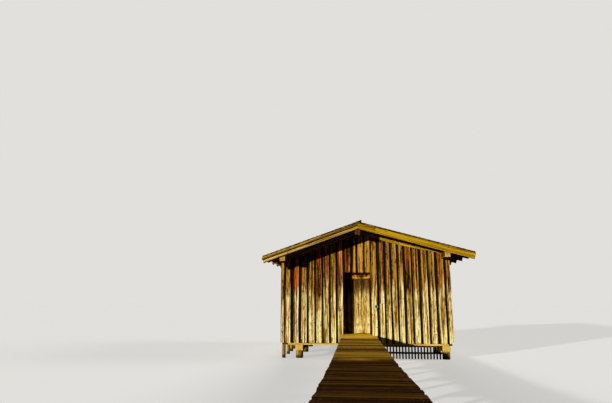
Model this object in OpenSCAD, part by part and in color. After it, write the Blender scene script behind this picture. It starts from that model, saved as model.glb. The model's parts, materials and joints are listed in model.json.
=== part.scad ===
// A timber boathouse standing on piles in shallow water, with the gangway that leads to its door.
// Millimetres. Height 0 is the water level, where every pile is cut off.

/* [Hut] */
// width of the front over the cladding
hut_width = 5400; // [4600:20:6400]
// length from the front cladding to the rear cladding
hut_length = 6000; // [4400:100:8000]
// wall from the outer face of the cladding to the inner face of the posts
wall_thickness = 230; // [180:10:280]
// double layer of cladding boards
cladding = 50; // [40:5:60]
// height of the lower ends of the cladding boards
cladding_foot = 456; // [440:2:520]

/* [Roof] */
// highest point of the roof covering
ridge_top = 4216; // [4000:2:4600]
// ridge line, measured from the middle of the hut
ridge_x = -195; // [-300:5:300]
// slope of the left roof face in degrees
left_pitch = 19.4; // [16:0.1:24]
// slope of the right roof face in degrees
right_pitch = 15.4; // [14:0.1:22]
// length of the left roof face measured down the slope
left_slope = 3212; // [3000:2:3500]
// length of the right roof face measured down the slope
right_slope = 3694; // [3100:2:3800]
// how far the roof stands out past both gable walls
overhang = 740; // [500:10:900]
// roof boards and covering together
roof_thickness = 50; // [40:5:80]
// depth of a rafter
rafter_depth = 115; // [100:5:180]
// width of a rafter
rafter_width = 80; // [60:5:120]

/* [Door] */
// clear width of the doorway
door_width = 880; // [700:10:1000]
// clear height of the doorway above the threshold
door_height = 1855; // [1700:5:2000]
// left edge of the doorway, measured from the middle of the hut
door_left = -702; // [-1200:2:-600]
// top of the threshold
threshold_top = 735; // [700:5:760]
// depth of the doorway from the face of the cladding to the door
reveal = 380; // [300:10:420]
// thickness of the door boards
leaf_thickness = 32; // [24:1:50]

/* [Substructure] */
// top of the bearers that run from front to rear
bearer_top = 410; // [380:5:430]
// depth of a bearer
bearer_depth = 180; // [140:10:220]
// width of a bearer
bearer_width = 240; // [180:10:260]
// depth of the crossbeams and sills that lie on the bearers
sill_depth = 200; // [160:10:220]
// thickness of the floor boards
floor_thickness = 40; // [30:5:50]
// edge of the floor beside the boat bay, measured from the middle of the hut
bay_left = 330; // [200:10:600]
// height of the boat opening in the rear wall above the water
bay_height = 1400; // [1200:10:1800]
// diameter of a pile under the hut
pile_d = 240; // [180:10:260]

/* [Gangway] */
// width of the gangway deck
gangway_width = 1088; // [900:4:1200]
// left edge of the gangway, measured from the middle of the hut
gangway_left = -755; // [-900:1:-700]
// number of bays that are built
gangway_bays = 6; // [4:1:6]
// length of one bay
bay_length = 2000; // [1600:50:2400]
// top of the deck at the wall
deck_top = 702; // [660:2:720]
// rise of the first four bays per metre
gentle_rise = 15; // [0:1:30]
// rise of the last bays per metre
steep_rise = 38; // [10:1:60]
// thickness of the deck planks
plank_thickness = 40; // [30:5:50]

/* [Hidden] */
half_width = hut_width / 2;
// members of the frame that meet end to end or side by side keep this gap
joint_gap = 1;
sill_top = bearer_top + sill_depth;
floor_top = sill_top + floor_thickness;
door_right = door_left + door_width;
door_top = threshold_top + door_height;
inner_half = half_width - wall_thickness;
tall = 6000;

// squared timbers of the wall frames
post_width = 160;
sole_thickness = 40;
sole_top = sill_top + sole_thickness;
rail_foot = 1650;
rail_height = 120;
rail_depth = 80;
tie_foot = 2800;
tie_height = 160;
stud_width = 100;
frame_left = -half_width + cladding;
frame_right = half_width - cladding;

// purlins: the two wall plates and the ridge purlin stick out to the barge boards
purlin_width = 170;
purlin_depth = 225;
left_plate_x = -half_width + 138;
right_plate_x = half_width - 180;
notch = 12;
// a rafter ends this far short of the eave
tail_set_in = 20;

// barge boards at both gables
barge_board = 30;
barge_upper_depth = 128;
barge_total_depth = 232;

// door hinges
pin_r = 7;
eye_clearance = 0.06;
eye_r = 14;
eye_height = 60;
strap_thickness = 6;
strap_height = 45;
strap_length = 620;
leaf_lap = 20;
leaf_gap = 6;
leaf_front = reveal + leaf_gap;
leaf_back = leaf_front + leaf_thickness;
ledge_thickness = 25;
ledge_height = 120;
ledge_back = leaf_back + ledge_thickness;
hinge_x = door_left - leaf_lap - 22;
hinge_y = ledge_back + strap_thickness / 2;
hinge_heights = [threshold_top + 250, threshold_top + door_height - 330];

// gangway
bend_bays = 4;
gangway_far = -gangway_bays * bay_length;
bend_y = -bend_bays * bay_length;
gangway_right = gangway_left + gangway_width;
gangway_beam_depth = 150;
gangway_beam_width = 90;
crossbeam_depth = 130;
crossbeam_width = 150;
gangway_pile_d = 170;
bend_top = deck_top + bend_bays * bay_length / 1000 * gentle_rise;
far_top = bend_top + (gangway_bays - bend_bays) * bay_length / 1000 * steep_rise;

// the whole object is set over its own middle
roof_left_x = ridge_x - left_slope * cos(left_pitch);
roof_right_x = ridge_x + right_slope * cos(right_pitch);
middle_x = (roof_left_x + roof_right_x) / 2;
middle_y = (gangway_far + hut_length + overhang) / 2;

function roof_top(x) = x < ridge_x
    ? ridge_top - (ridge_x - x) * tan(left_pitch)
    : ridge_top - (x - ridge_x) * tan(right_pitch);
function under_roof(x, depth) = roof_top(x) - depth / cos(x < ridge_x ? left_pitch : right_pitch);
function deck_z(y) = y >= bend_y
    ? deck_top - y / 1000 * gentle_rise
    : bend_top - (y - bend_y) / 1000 * steep_rise;

rafter_bottom = roof_thickness + rafter_depth;
left_plate_top = under_roof(left_plate_x, rafter_bottom) + notch;
right_plate_top = under_roof(right_plate_x, rafter_bottom) + notch;
ridge_purlin_x = ridge_x - 9;
ridge_purlin_top = ridge_top - rafter_bottom / cos(left_pitch) - purlin_width / 4 * tan(left_pitch);

module place() {
    translate([-middle_x, -middle_y, 0]) children();
}

// draws a flat outline given as x and height, and runs it from y0 to y1
module along_y(y0, y1) {
    translate([0, y1, 0]) rotate([90, 0, 0]) linear_extrude(y1 - y0) children();
}

// draws a flat outline given as y and height, and runs it from x0 to x1
module along_x(x0, x1) {
    translate([x0, 0, 0]) rotate([90, 0, 90]) linear_extrude(x1 - x0) children();
}

module block(x0, x1, y0, y1, z0, z1) {
    translate([x0, y0, z0]) cube([x1 - x0, y1 - y0, z1 - z0]);
}

// a strip of the left roof face, from depth d0 to d1 below the covering
module left_band(from, to, d0, d1) {
    intersection() {
        translate([ridge_x, ridge_top]) mirror([1, 0]) rotate(-left_pitch)
            translate([from, -d1]) square([to - from, d1 - d0]);
        translate([ridge_x - tall, 0]) square([tall, tall]);
    }
}

module right_band(from, to, d0, d1) {
    intersection() {
        translate([ridge_x, ridge_top]) rotate(-right_pitch)
            translate([from, -d1]) square([to - from, d1 - d0]);
        translate([ridge_x, 0]) square([tall, tall]);
    }
}

// a purlin runs from one barge board to the other, and room leaves the given gap round it
module purlin(x, top, room = 0) {
    block(x - purlin_width / 2 - room, x + purlin_width / 2 + room, -overhang + barge_board,
        hut_length + overhang - barge_board, top - purlin_depth - room, top + room);
}

module left_plate(room = 0) {
    purlin(left_plate_x, left_plate_top, room);
}

module right_plate(room = 0) {
    purlin(right_plate_x, right_plate_top, room);
}

module ridge_beam(room = 0) {
    purlin(ridge_purlin_x, ridge_purlin_top, room);
}

module purlin_room() {
    left_plate(joint_gap);
    right_plate(joint_gap);
    ridge_beam(joint_gap);
}

// outline of gable cladding from x0 to x1 and from height z0 up to the roof boards
module gable_outline(x0, x1, z0) {
    depth = roof_thickness + 2 * joint_gap;
    crosses_ridge = x0 < ridge_x && ridge_x < x1;
    peak = crosses_ridge ? [[ridge_x, ridge_top - depth / cos(left_pitch)]] : [];
    left_edge = [[x0, z0], [x0, under_roof(x0, depth)]];
    right_edge = [[x1, under_roof(x1, depth)], [x1, z0]];
    polygon(concat(left_edge, peak, right_edge));
}

module front_gable(x0, x1, foot) {
    difference() {
        along_y(0, cladding) gable_outline(x0, x1, foot);
        purlin_room();
    }
}

module rear_gable(x0, x1, foot) {
    difference() {
        along_y(hut_length - cladding, hut_length) gable_outline(x0, x1, foot);
        purlin_room();
    }
}

// the members of a gable frame lie between y0 and y1
module gable_post(x, y0, y1, foot, top) {
    block(x - post_width / 2, x + post_width / 2, y0, y1, foot + joint_gap, top - joint_gap);
}

module gable_rail(x0, x1, y0, y1, foot, height) {
    block(x0 + joint_gap, x1 - joint_gap, y0, y1, foot, foot + height);
}

// a short upright over the tie beam, cut off level under the lower edge of its rafter
module gable_stud(x, y0, y1) {
    outer = x < ridge_x ? x - stud_width / 2 : x + stud_width / 2;
    block(x - stud_width / 2, x + stud_width / 2, y0, y1, tie_foot + tie_height + joint_gap,
        under_roof(outer, rafter_bottom) - joint_gap);
}

corner_left = frame_left + post_width / 2;
corner_right = frame_right - post_width / 2;
corner_inner_left = frame_left + post_width;
corner_inner_right = frame_right - post_width;
stud_places = [-1750, -1000, 620, 1450];

// corner posts, tie beam, king post and studs are alike in both gables
module gable_top(y0, y1) {
    gable_post(corner_left, y0, y1, sole_top, left_plate_top - purlin_depth);
    gable_post(corner_right, y0, y1, sole_top, right_plate_top - purlin_depth);
    gable_rail(corner_inner_left, corner_inner_right, y0, y1, tie_foot, tie_height);
    gable_post(ridge_purlin_x, y0, y1, tie_foot + tie_height, ridge_purlin_top - purlin_depth);
    for (x = stud_places) {
        gable_stud(x, y0, y1);
    }
}

// the sole plate of a side wall, its posts between the corners and the rails between them
module side_frame(x0, x1, rail_x0, top) {
    first = wall_thickness;
    last = hut_length - wall_thickness;
    posts = [hut_length / 3, hut_length * 2 / 3];
    bay_starts = concat([first], [for (y = posts) y + post_width / 2]);
    bay_ends = concat([for (y = posts) y - post_width / 2], [last]);
    block(x0, x1, first + joint_gap, last - joint_gap, sill_top, sole_top);
    for (y = posts) {
        block(x0, x1, y - post_width / 2, y + post_width / 2, sole_top + joint_gap, top - joint_gap);
    }
    for (i = [0 : len(posts)]) {
        block(rail_x0, rail_x0 + rail_depth, bay_starts[i] + joint_gap, bay_ends[i] - joint_gap,
            rail_foot, rail_foot + rail_height);
    }
}

pile_inset = 140;
pile_rows = [pile_inset, hut_length / 3, hut_length * 2 / 3, hut_length - pile_inset];
slim_pile_d = 120;
slim_pile_x = -half_width + slim_pile_d / 2 + 35;
joist_width = 120;
joist_count = 7;
joist_first = wall_thickness + joint_gap;
joist_last = hut_length - wall_thickness - joint_gap - joist_width;
joist_step = (joist_last - joist_first) / (joist_count - 1);
joist_places = [for (i = [0 : joist_count - 1]) joist_first + joist_step * i];
bearer_left_x = -2105;
bearer_middle_x = bay_left - bearer_width / 2;
bearer_right_x = half_width - 239;
bearer_foot = bearer_top - bearer_depth;
bearer_end = 20;

module pile_row(x, rows, d, top) {
    for (y = rows) {
        translate([x, y, 0]) cylinder(d = d, h = top, $fn = 48);
    }
}

// stout piles under the bearer, and slim ones under the sill and joist ends at the wall
module piles_left() {
    joist_rows = [for (i = [1 : joist_count - 2]) joist_places[i] + joist_width / 2];
    first_row = cladding + slim_pile_d / 2;
    slim_rows = concat([first_row], joist_rows, [hut_length - first_row]);
    color("saddlebrown") place() {
        pile_row(bearer_left_x, pile_rows, pile_d, bearer_foot);
        pile_row(slim_pile_x, slim_rows, slim_pile_d, bearer_top);
    }
}

module piles_middle() {
    color("saddlebrown") place() pile_row(bearer_middle_x, pile_rows, pile_d, bearer_foot);
}

module piles_right() {
    color("saddlebrown") place() pile_row(bearer_right_x, pile_rows, pile_d, bearer_foot);
}

module bearer(x) {
    block(x - bearer_width / 2, x + bearer_width / 2, bearer_end, hut_length - bearer_end,
        bearer_foot, bearer_top);
}

module bearer_left() {
    color("burlywood") place() bearer(bearer_left_x);
}

module bearer_middle() {
    color("burlywood") place() bearer(bearer_middle_x);
}

module bearer_right() {
    color("burlywood") place() bearer(bearer_right_x);
}

module front_sill() {
    color("peru") place()
        block(frame_left, frame_right, cladding, wall_thickness, bearer_top, sill_top);
}

// joists across the bearers, and a sill of their depth under the rear wall
module floor_joists() {
    color("peru") place() {
        for (y = joist_places) {
            block(frame_left, bay_left, y, y + joist_width, bearer_top, sill_top);
        }
        block(frame_left, bay_left, hut_length - wall_thickness, hut_length - cladding,
            bearer_top, sill_top);
    }
}

module right_sill() {
    color("peru") place()
        block(inner_half, frame_right, wall_thickness + joint_gap, hut_length - cladding,
            bearer_top, sill_top);
}

strip_left = -2455;
strip_right = 2535;
strip_reach = 35;

// a thin strip under the feet of the front boards, which stands out in front of them
module sill_strip() {
    color("gold") place()
        block(strip_left, strip_right, -strip_reach, cladding, bearer_top, cladding_foot);
}

module floor_boards() {
    color("tan") place()
        block(-inner_half + joint_gap, bay_left, wall_thickness + joint_gap,
            hut_length - wall_thickness - joint_gap, sill_top, floor_top);
}

grille_bar = 45;
grille_pitch = 95;
grille_front = 70;
grille_right = bearer_right_x - bearer_width / 2;
grille_rail_height = 55;
low_rail_foot = 150;

// upright bars nailed to two rails hang from the sill and close the water beside the gangway
module water_grille() {
    count = floor((grille_right - bay_left - grille_bar) / grille_pitch);
    back = grille_front + grille_bar;
    color("dimgray") place() {
        for (i = [0 : count]) {
            x = bay_left + 20 + i * grille_pitch;
            block(x, x + grille_bar, grille_front, back, 0, bearer_top);
        }
        for (z = [low_rail_foot, bearer_top - grille_rail_height]) {
            block(bay_left, grille_right, back, back + grille_bar, z, z + grille_rail_height);
        }
    }
}

module front_wall_left() {
    color("orange") place() front_gable(-half_width, door_left, cladding_foot);
}

module front_wall_right() {
    color("orange") place() front_gable(door_right, half_width, cladding_foot);
}

// the boards over the doorway hang in front of its head board
over_door_foot = door_top + 70;

module front_wall_over_door() {
    color("orange") place() front_gable(door_left + joint_gap, door_right - joint_gap, over_door_foot);
}

// the boards of a side wall run up to the rafters
module side_wall(x0, x1, outer) {
    block(x0, x1, cladding + joint_gap, hut_length - cladding - joint_gap, cladding_foot,
        under_roof(outer, rafter_bottom) - 2 * joint_gap);
}

module left_wall() {
    color("darkorange") place() side_wall(-half_width, frame_left, -half_width);
}

module right_wall() {
    color("darkorange") place() side_wall(frame_right, half_width, half_width);
}

module rear_wall_left() {
    color("orange") place() rear_gable(-half_width, bay_left, cladding_foot);
}

module rear_wall_over_bay() {
    color("orange") place() rear_gable(bay_left + joint_gap, half_width, bay_height);
}

// posts of the front frame from left to right; the doorway is between the third and the fourth
door_post_left = door_left - post_width / 2;
door_post_right = door_right + post_width / 2;
front_posts = [corner_left, (corner_left + door_post_left) / 2, door_post_left,
    door_post_right, (corner_right + door_post_right) / 2, corner_right];
doorway = 2;
// the lintel lies above the head board of the doorway
head_top = door_top + 85;

module front_frame() {
    y0 = cladding;
    y1 = wall_thickness;
    color("peru") place() {
        gable_top(y0, y1);
        block(frame_left, door_left, y0, y1, sill_top, sole_top);
        block(door_right, frame_right, y0, y1, sill_top, sole_top);
        for (i = [1 : len(front_posts) - 2]) {
            gable_post(front_posts[i], y0, y1, sole_top, tie_foot);
        }
        for (i = [0 : len(front_posts) - 2]) {
            back = i == doorway ? y1 : y0 + rail_depth;
            foot = i == doorway ? head_top : rail_foot;
            gable_rail(front_posts[i] + post_width / 2, front_posts[i + 1] - post_width / 2, y0, back,
                foot, rail_height);
        }
    }
}

// the rear frame is closed beside the boat bay and carries a lintel over it
bay_post = bay_left - post_width / 2;
rear_posts = [corner_left, (corner_left + bay_post) / 2, bay_post];
bay_mid = (bay_left + corner_inner_right) / 2;

module rear_frame() {
    y0 = hut_length - wall_thickness;
    y1 = hut_length - cladding;
    color("peru") place() {
        gable_top(y0, y1);
        block(frame_left, bay_left, y0, y1, sill_top, sole_top);
        block(corner_inner_right, frame_right, y0, y1, sill_top, sole_top);
        for (i = [1 : len(rear_posts) - 1]) {
            gable_post(rear_posts[i], y0, y1, sole_top, tie_foot);
            gable_rail(rear_posts[i - 1] + post_width / 2, rear_posts[i] - post_width / 2,
                y1 - rail_depth, y1, rail_foot, rail_height);
        }
        gable_rail(bay_left, corner_inner_right, y0, y1, bay_height, tie_height);
        gable_post(bay_mid, y0, y1, bay_height + tie_height, tie_foot);
    }
}

module left_frame() {
    color("peru") place()
        side_frame(frame_left, -inner_half, frame_left, left_plate_top - purlin_depth);
}

module right_frame() {
    color("peru") place() side_frame(inner_half, frame_right, frame_right - rail_depth,
        right_plate_top - purlin_depth);
}

module wall_plate_left() {
    color("wheat") place() left_plate();
}

module wall_plate_right() {
    color("wheat") place() right_plate();
}

module ridge_purlin() {
    color("wheat") place() ridge_beam();
}

rafter_count = 7;
rafter_first = cladding + joint_gap;
rafter_last = hut_length - rafter_first - rafter_width;
rafter_step = (rafter_last - rafter_first) / (rafter_count - 1);
flying_front = -overhang + barge_board;
flying_rear = hut_length + overhang - barge_board - rafter_width;
// a flying rafter stands behind the barge boards at each end
rafter_places = concat([flying_front],
    [for (i = [0 : rafter_count - 1]) rafter_first + rafter_step * i], [flying_rear]);
// strips of the roof start this far past the ridge and are cut there upright
past_ridge = -200;

// rafters are notched over the wall plate and the ridge purlin
module rafters_left() {
    color("peru") place() difference() {
        for (y = rafter_places) {
            along_y(y, y + rafter_width)
                left_band(past_ridge, left_slope - tail_set_in, roof_thickness, rafter_bottom);
        }
        purlin_room();
    }
}

module rafters_right() {
    color("peru") place() difference() {
        for (y = rafter_places) {
            along_y(y, y + rafter_width)
                right_band(past_ridge, right_slope - tail_set_in, roof_thickness, rafter_bottom);
        }
        purlin_room();
    }
}

covering = 16;
ridge_lap = 130;

// the covering of the left face runs on past the ridge as a thin flap
module ridge_flap(room = 0) {
    translate([ridge_x, ridge_top]) rotate(left_pitch) translate([-covering, -covering - room])
        square([covering + ridge_lap + room, covering + 2 * room]);
}

// the roof covers the upper edges of the barge boards at both gables
module roof_run() {
    along_y(-overhang - barge_board, hut_length + overhang) children();
}

module roof_left() {
    color("slategray") place() roof_run() {
        left_band(past_ridge, left_slope, 0, roof_thickness);
        ridge_flap();
    }
}

module roof_right() {
    color("slategray") place() roof_run() difference() {
        right_band(past_ridge, right_slope, 0, roof_thickness);
        ridge_flap(joint_gap);
    }
}

// the left barge boards reach a little past the eave, the right ones stop a little short of it
left_barge_end = left_slope + 10;
right_barge_end = right_slope - 6;
barge_top = roof_thickness + joint_gap;
right_outer_depth = barge_total_depth + 6;
right_inner_depth = barge_total_depth - 17;

module front_barge_place(layer) {
    along_y(-overhang - barge_board + layer * barge_board, -overhang + layer * barge_board) children();
}

// the front barge boards are nailed on in two layers, the rear ones in one
module barge_left_upper() {
    color("goldenrod") place() front_barge_place(0)
        left_band(past_ridge, left_barge_end, barge_top, barge_upper_depth);
}

module barge_left_lower() {
    color("goldenrod") place() front_barge_place(1)
        left_band(past_ridge, left_barge_end - 6, barge_top, barge_total_depth);
}

module barge_right_outer() {
    color("goldenrod") place() front_barge_place(0)
        right_band(past_ridge, right_barge_end, barge_top, right_outer_depth);
}

module barge_right_inner() {
    color("goldenrod") place() front_barge_place(1)
        right_band(past_ridge, right_barge_end - 6, barge_top, right_inner_depth);
}

module rear_barge_place() {
    along_y(hut_length + overhang - barge_board, hut_length + overhang) children();
}

module rear_barge_left() {
    color("goldenrod") place() rear_barge_place()
        left_band(past_ridge, left_barge_end, barge_top, barge_total_depth);
}

module rear_barge_right() {
    color("goldenrod") place() rear_barge_place()
        right_band(past_ridge, right_barge_end, barge_top, barge_total_depth);
}

frieze_thickness = 25;
frieze_top = 170;
frieze_foot = 305;
frieze_joint_x = 1200;

// the trim boards under the roof; the last one on the right tapers to a point at the eave
module frieze_outline() {
    joint = (frieze_joint_x - ridge_x) / cos(right_pitch);
    left_band(past_ridge, left_slope, frieze_top, frieze_foot);
    right_band(past_ridge, joint, frieze_top, frieze_foot);
    translate([ridge_x, ridge_top]) rotate(-right_pitch) translate([joint + joint_gap, 0])
        polygon([[0, -frieze_top], [right_slope - joint, -frieze_top], [0, -frieze_foot]]);
}

// the trim ends at the corners of the hut and has a plumb joint at the ridge
module frieze() {
    color("khaki") place() difference() {
        along_y(-frieze_thickness, 0) intersection() {
            frieze_outline();
            translate([-half_width, 0]) square([hut_width, tall]);
        }
        purlin_room();
        block(ridge_x - joint_gap, ridge_x + joint_gap, -frieze_thickness - 1, 1, 0, tall);
    }
}

jamb = 30;
jamb_front = 60;
head_foot = door_top - 130;
head_thickness = 40;
casing_width = 140;

// two posts and a head stand inside the wall and make the doorway deep
module door_casing() {
    y0 = wall_thickness + joint_gap;
    for (x = [door_left - casing_width - joint_gap, door_right + joint_gap]) {
        block(x, x + casing_width, y0, reveal, floor_top, head_top - joint_gap);
    }
    block(door_left - casing_width, door_right + casing_width, y0, reveal, head_top,
        head_top + rail_height);
}

// the casing, the lining boards of the doorway, the head board and the threshold
module door_frame() {
    color("khaki") place() {
        door_casing();
        for (x = [door_left, door_right - jamb]) {
            block(x, x + jamb, jamb_front, reveal, threshold_top + joint_gap, head_top - joint_gap);
        }
        block(door_left + jamb + joint_gap, door_right - jamb - joint_gap, reveal - head_thickness,
            reveal, head_foot, head_top - joint_gap);
        block(door_left, door_right, 0, wall_thickness, sill_top, threshold_top);
        block(door_left, door_right, wall_thickness, reveal, floor_top, threshold_top);
    }
}

module door_leaf() {
    color("moccasin") place()
        block(door_left - leaf_lap, door_right + leaf_lap, leaf_front, leaf_back,
            threshold_top + 5, door_top + leaf_lap);
}

// two ledges behind the straps, and a brace that rises from the lower hinge
module door_ledges() {
    x0 = door_left;
    x1 = door_right;
    brace = 130;
    low = hinge_heights[0] + eye_height / 2 + ledge_height / 2 + joint_gap;
    high = hinge_heights[1] + eye_height / 2 - ledge_height / 2 - joint_gap;
    color("tan") place() {
        for (z = hinge_heights) {
            block(x0, x1, leaf_back, ledge_back, z + (eye_height - ledge_height) / 2,
                z + (eye_height + ledge_height) / 2);
        }
        along_y(leaf_back, ledge_back)
            polygon([[x0, low], [x0 + brace, low], [x1, high], [x1 - brace, high]]);
    }
}

knob_d = 46;
knob_reach = 52;
knob_x = -365;
knob_z = 2060;

// a turned knob on a short neck
module door_knob() {
    neck_r = knob_d * 0.3;
    head_r = knob_d / 2;
    color("sienna") place() translate([knob_x, leaf_front, knob_z]) rotate([90, 0, 0]) {
        cylinder(r = neck_r, h = knob_reach - head_r, $fn = 48);
        translate([0, 0, knob_reach - head_r]) sphere(r = head_r, $fn = 48);
    }
}

module door_straps() {
    color("dimgray") place() for (z = hinge_heights) {
        difference() {
            union() {
                translate([hinge_x, hinge_y, z]) cylinder(r = eye_r, h = eye_height, $fn = 48);
                block(hinge_x, hinge_x + strap_length, ledge_back, ledge_back + strap_thickness,
                    z + (eye_height - strap_height) / 2, z + (eye_height + strap_height) / 2);
            }
            translate([hinge_x, hinge_y, z - 1])
                cylinder(r = pin_r + eye_clearance, h = eye_height + 2, $fn = 48);
        }
    }
}

// a plate on the casing, an arm and the upright pin that carries the eye of the strap
module hinge_pintles() {
    foot = 45;
    arm_height = 40;
    plate_reach = 90;
    plate_thickness = 5;
    color("dimgray") place() for (z = hinge_heights) {
        arm_foot = z - foot;
        arm_top = arm_foot + arm_height;
        translate([hinge_x, hinge_y, arm_foot]) {
            cylinder(r = pin_r, h = foot + eye_height + 5, $fn = 48);
            cylinder(r = eye_r, h = arm_height, $fn = 48);
        }
        block(hinge_x - eye_r, hinge_x + eye_r, reveal, hinge_y, arm_foot, arm_top);
        block(hinge_x - plate_reach, hinge_x + eye_r, reveal, reveal + plate_thickness,
            arm_foot, arm_top);
    }
}

ring_d = 96;
ring_bore = 70;
ring_reach = 26;
ring_x = 355;
ring_z = 1590;

// a short collar of sheet metal, closed by the board behind it
module lock_ring() {
    color("lightsteelblue") place() translate([ring_x, 0, ring_z]) rotate([90, 0, 0]) difference() {
        cylinder(d = ring_d, h = ring_reach, $fn = 48);
        translate([0, 0, 4]) cylinder(d = ring_bore, h = ring_reach, $fn = 48);
    }
}

gangway_pile_inset = 120;
end_inset = 100;
hut_inset = 200;

// a support stands at each end of every bay, the outermost ones just inside the ends
support_places = [for (i = [0 : gangway_bays])
    -i * bay_length + (i == gangway_bays ? end_inset : i == 0 ? -hut_inset : 0)];
// the side beams rest on the edge of each level crossbeam
function support_top(y) = deck_z(y + crossbeam_width / 2) - plank_thickness - gangway_beam_depth;

module gangway_piles() {
    color("saddlebrown") place() for (y = support_places) {
        for (x = [gangway_left + gangway_pile_inset, gangway_right - gangway_pile_inset]) {
            translate([x, y, 0])
                cylinder(d = gangway_pile_d, h = support_top(y) - crossbeam_depth, $fn = 48);
        }
    }
}

module gangway_crossbeams() {
    color("sienna") place() for (y = support_places) {
        block(gangway_left, gangway_right, y - crossbeam_width / 2, y + crossbeam_width / 2,
            support_top(y) - crossbeam_depth, support_top(y) - joint_gap);
    }
}

// the side outline of the gangway between two depths below the deck surface
module gangway_outline(d0, d1) {
    bends = [0, bend_y, gangway_far];
    upper = [for (y = bends) [y, deck_z(y) - d0]];
    lower = [for (i = [len(bends) - 1 : -1 : 0]) [bends[i], deck_z(bends[i]) - d1]];
    polygon(concat(upper, lower));
}

gangway_beam_inset = 40;

module gangway_beams() {
    near = gangway_left + gangway_beam_inset;
    far = gangway_right - gangway_beam_inset - gangway_beam_width;
    color("sienna") place() for (x = [near, far]) {
        along_x(x, x + gangway_beam_width)
            gangway_outline(plank_thickness, plank_thickness + gangway_beam_depth);
    }
}

module gangway_deck() {
    color("peru") place() along_x(gangway_left, gangway_right)
        gangway_outline(0, plank_thickness - joint_gap);
}

piles_left();
piles_middle();
piles_right();
bearer_left();
bearer_middle();
bearer_right();
front_sill();
floor_joists();
right_sill();
sill_strip();
floor_boards();
water_grille();
front_frame();
left_frame();
right_frame();
rear_frame();
front_wall_left();
front_wall_right();
front_wall_over_door();
left_wall();
right_wall();
rear_wall_left();
rear_wall_over_bay();
wall_plate_left();
wall_plate_right();
ridge_purlin();
rafters_left();
rafters_right();
roof_left();
roof_right();
barge_left_upper();
barge_left_lower();
barge_right_outer();
barge_right_inner();
rear_barge_left();
rear_barge_right();
frieze();
door_frame();
hinge_pintles();
door_leaf();
door_ledges();
door_straps();
door_knob();
lock_ring();
gangway_piles();
gangway_crossbeams();
gangway_beams();
gangway_deck();
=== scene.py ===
"""Finishes the boathouse: boards, logs, shingles, planks and ironwork with their weathered surfaces."""

import json
import math
import random

import bmesh
import bpy
from bpy.props import FloatProperty, FloatVectorProperty, IntProperty, PointerProperty
from mathutils import Matrix, Vector, noise


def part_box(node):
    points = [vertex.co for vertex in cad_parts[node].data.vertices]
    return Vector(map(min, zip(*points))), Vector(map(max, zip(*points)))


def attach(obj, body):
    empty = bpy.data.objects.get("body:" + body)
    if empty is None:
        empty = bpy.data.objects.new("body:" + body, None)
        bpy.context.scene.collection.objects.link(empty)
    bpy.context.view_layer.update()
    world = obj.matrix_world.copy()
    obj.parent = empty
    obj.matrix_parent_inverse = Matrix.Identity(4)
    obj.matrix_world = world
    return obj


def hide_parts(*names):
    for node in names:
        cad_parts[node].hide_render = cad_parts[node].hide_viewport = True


bl_info = {
    "name": "Boathouse on Piles",
    "version": (1, 0, 0),
    "blender": (4, 5, 0),
    "location": "View3D > Sidebar > Boathouse",
    "description": "Dresses a timber boathouse and its gangway with boards, logs, shingles and ironwork",
    "category": "Object",
}

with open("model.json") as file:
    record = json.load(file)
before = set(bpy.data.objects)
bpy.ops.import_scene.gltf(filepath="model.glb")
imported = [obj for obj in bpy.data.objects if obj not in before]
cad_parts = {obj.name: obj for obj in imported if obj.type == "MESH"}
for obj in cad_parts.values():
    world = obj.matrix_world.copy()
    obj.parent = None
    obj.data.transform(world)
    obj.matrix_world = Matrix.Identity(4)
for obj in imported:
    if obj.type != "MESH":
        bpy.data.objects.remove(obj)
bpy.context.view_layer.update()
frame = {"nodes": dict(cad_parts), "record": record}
NODES = frame["nodes"]
SLOTS = {row["node"]: row["material_slot"] for row in frame["record"]["subparts"]}
HUT = "boathouse"
DOOR = "door"

X = Vector((1, 0, 0))
Y = Vector((0, 1, 0))
Z = Vector((0, 0, 1))
MERGE = 0.00002
SMOOTH_UP_TO = math.radians(40)
# boards that end under the roof are drawn this far past it and cut off there
PAST_ROOF = 0.5
# how far boards stay clear of what they would touch
CLEAR = 0.002
# open joints between two lengths of a wall board and of a timber
BOARD_JOINT = 0.003
TIMBER_JOINT = 0.004
NAIL_REACH = 0.0015

# the roof faces, as the solids have them
LEFT_PITCH = math.radians(19.4)
RIGHT_PITCH = math.radians(15.4)
ROOF_DEPTH = 0.05
RIDGE_LAP = 0.13
LAP_RISE = RIDGE_LAP * math.sin(LEFT_PITCH)
RIDGE = Vector((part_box("roof_right")[0].x, 0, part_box("roof_left")[1].z - LAP_RISE))
ROOF_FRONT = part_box("roof_right")[0].y
ROOF_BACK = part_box("roof_right")[1].y
# the outer faces of the front and the rear wall
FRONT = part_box("front_wall_left")[0].y
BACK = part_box("rear_wall_left")[1].y
# how far the board at the head of the doorway hangs under the wall over it
HEAD_BOARD = 0.07
DOOR_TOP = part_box("front_wall_over_door")[0].z - HEAD_BOARD
# the nails of the lower ledge, in the middle of its height, stain the door
HALF_LEDGE = 0.06
LEDGE_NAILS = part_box("door_ledges")[0].z + HALF_LEDGE
# the gangway rises gently from the wall up to a bend, and more steeply past it
GENTLE_RISE = 0.015
STEEP_RISE = 0.038
BEND = 8.0


def srgb(red, green, blue):
    """The linear colour of three display values from 0 to 255."""
    linear = []
    for value in (red, green, blue):
        share = value / 255
        linear.append(share / 12.92 if share <= 0.04045 else ((share + 0.055) / 1.055) ** 2.4)
    return tuple(linear)


def colour(name, description, *values):
    return FloatVectorProperty(
        name=name, description=description, default=srgb(*values), size=3, subtype="COLOR", min=0, max=1
    )


def length(name, description, metres):
    return FloatProperty(
        name=name, description=description, default=metres, min=0, unit="LENGTH", precision=4
    )


def angle(name, description, degrees):
    return FloatProperty(
        name=name, description=description, default=math.radians(degrees), subtype="ANGLE"
    )


def amount(name, description, value):
    return FloatProperty(name=name, description=description, default=value, min=0)


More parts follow.
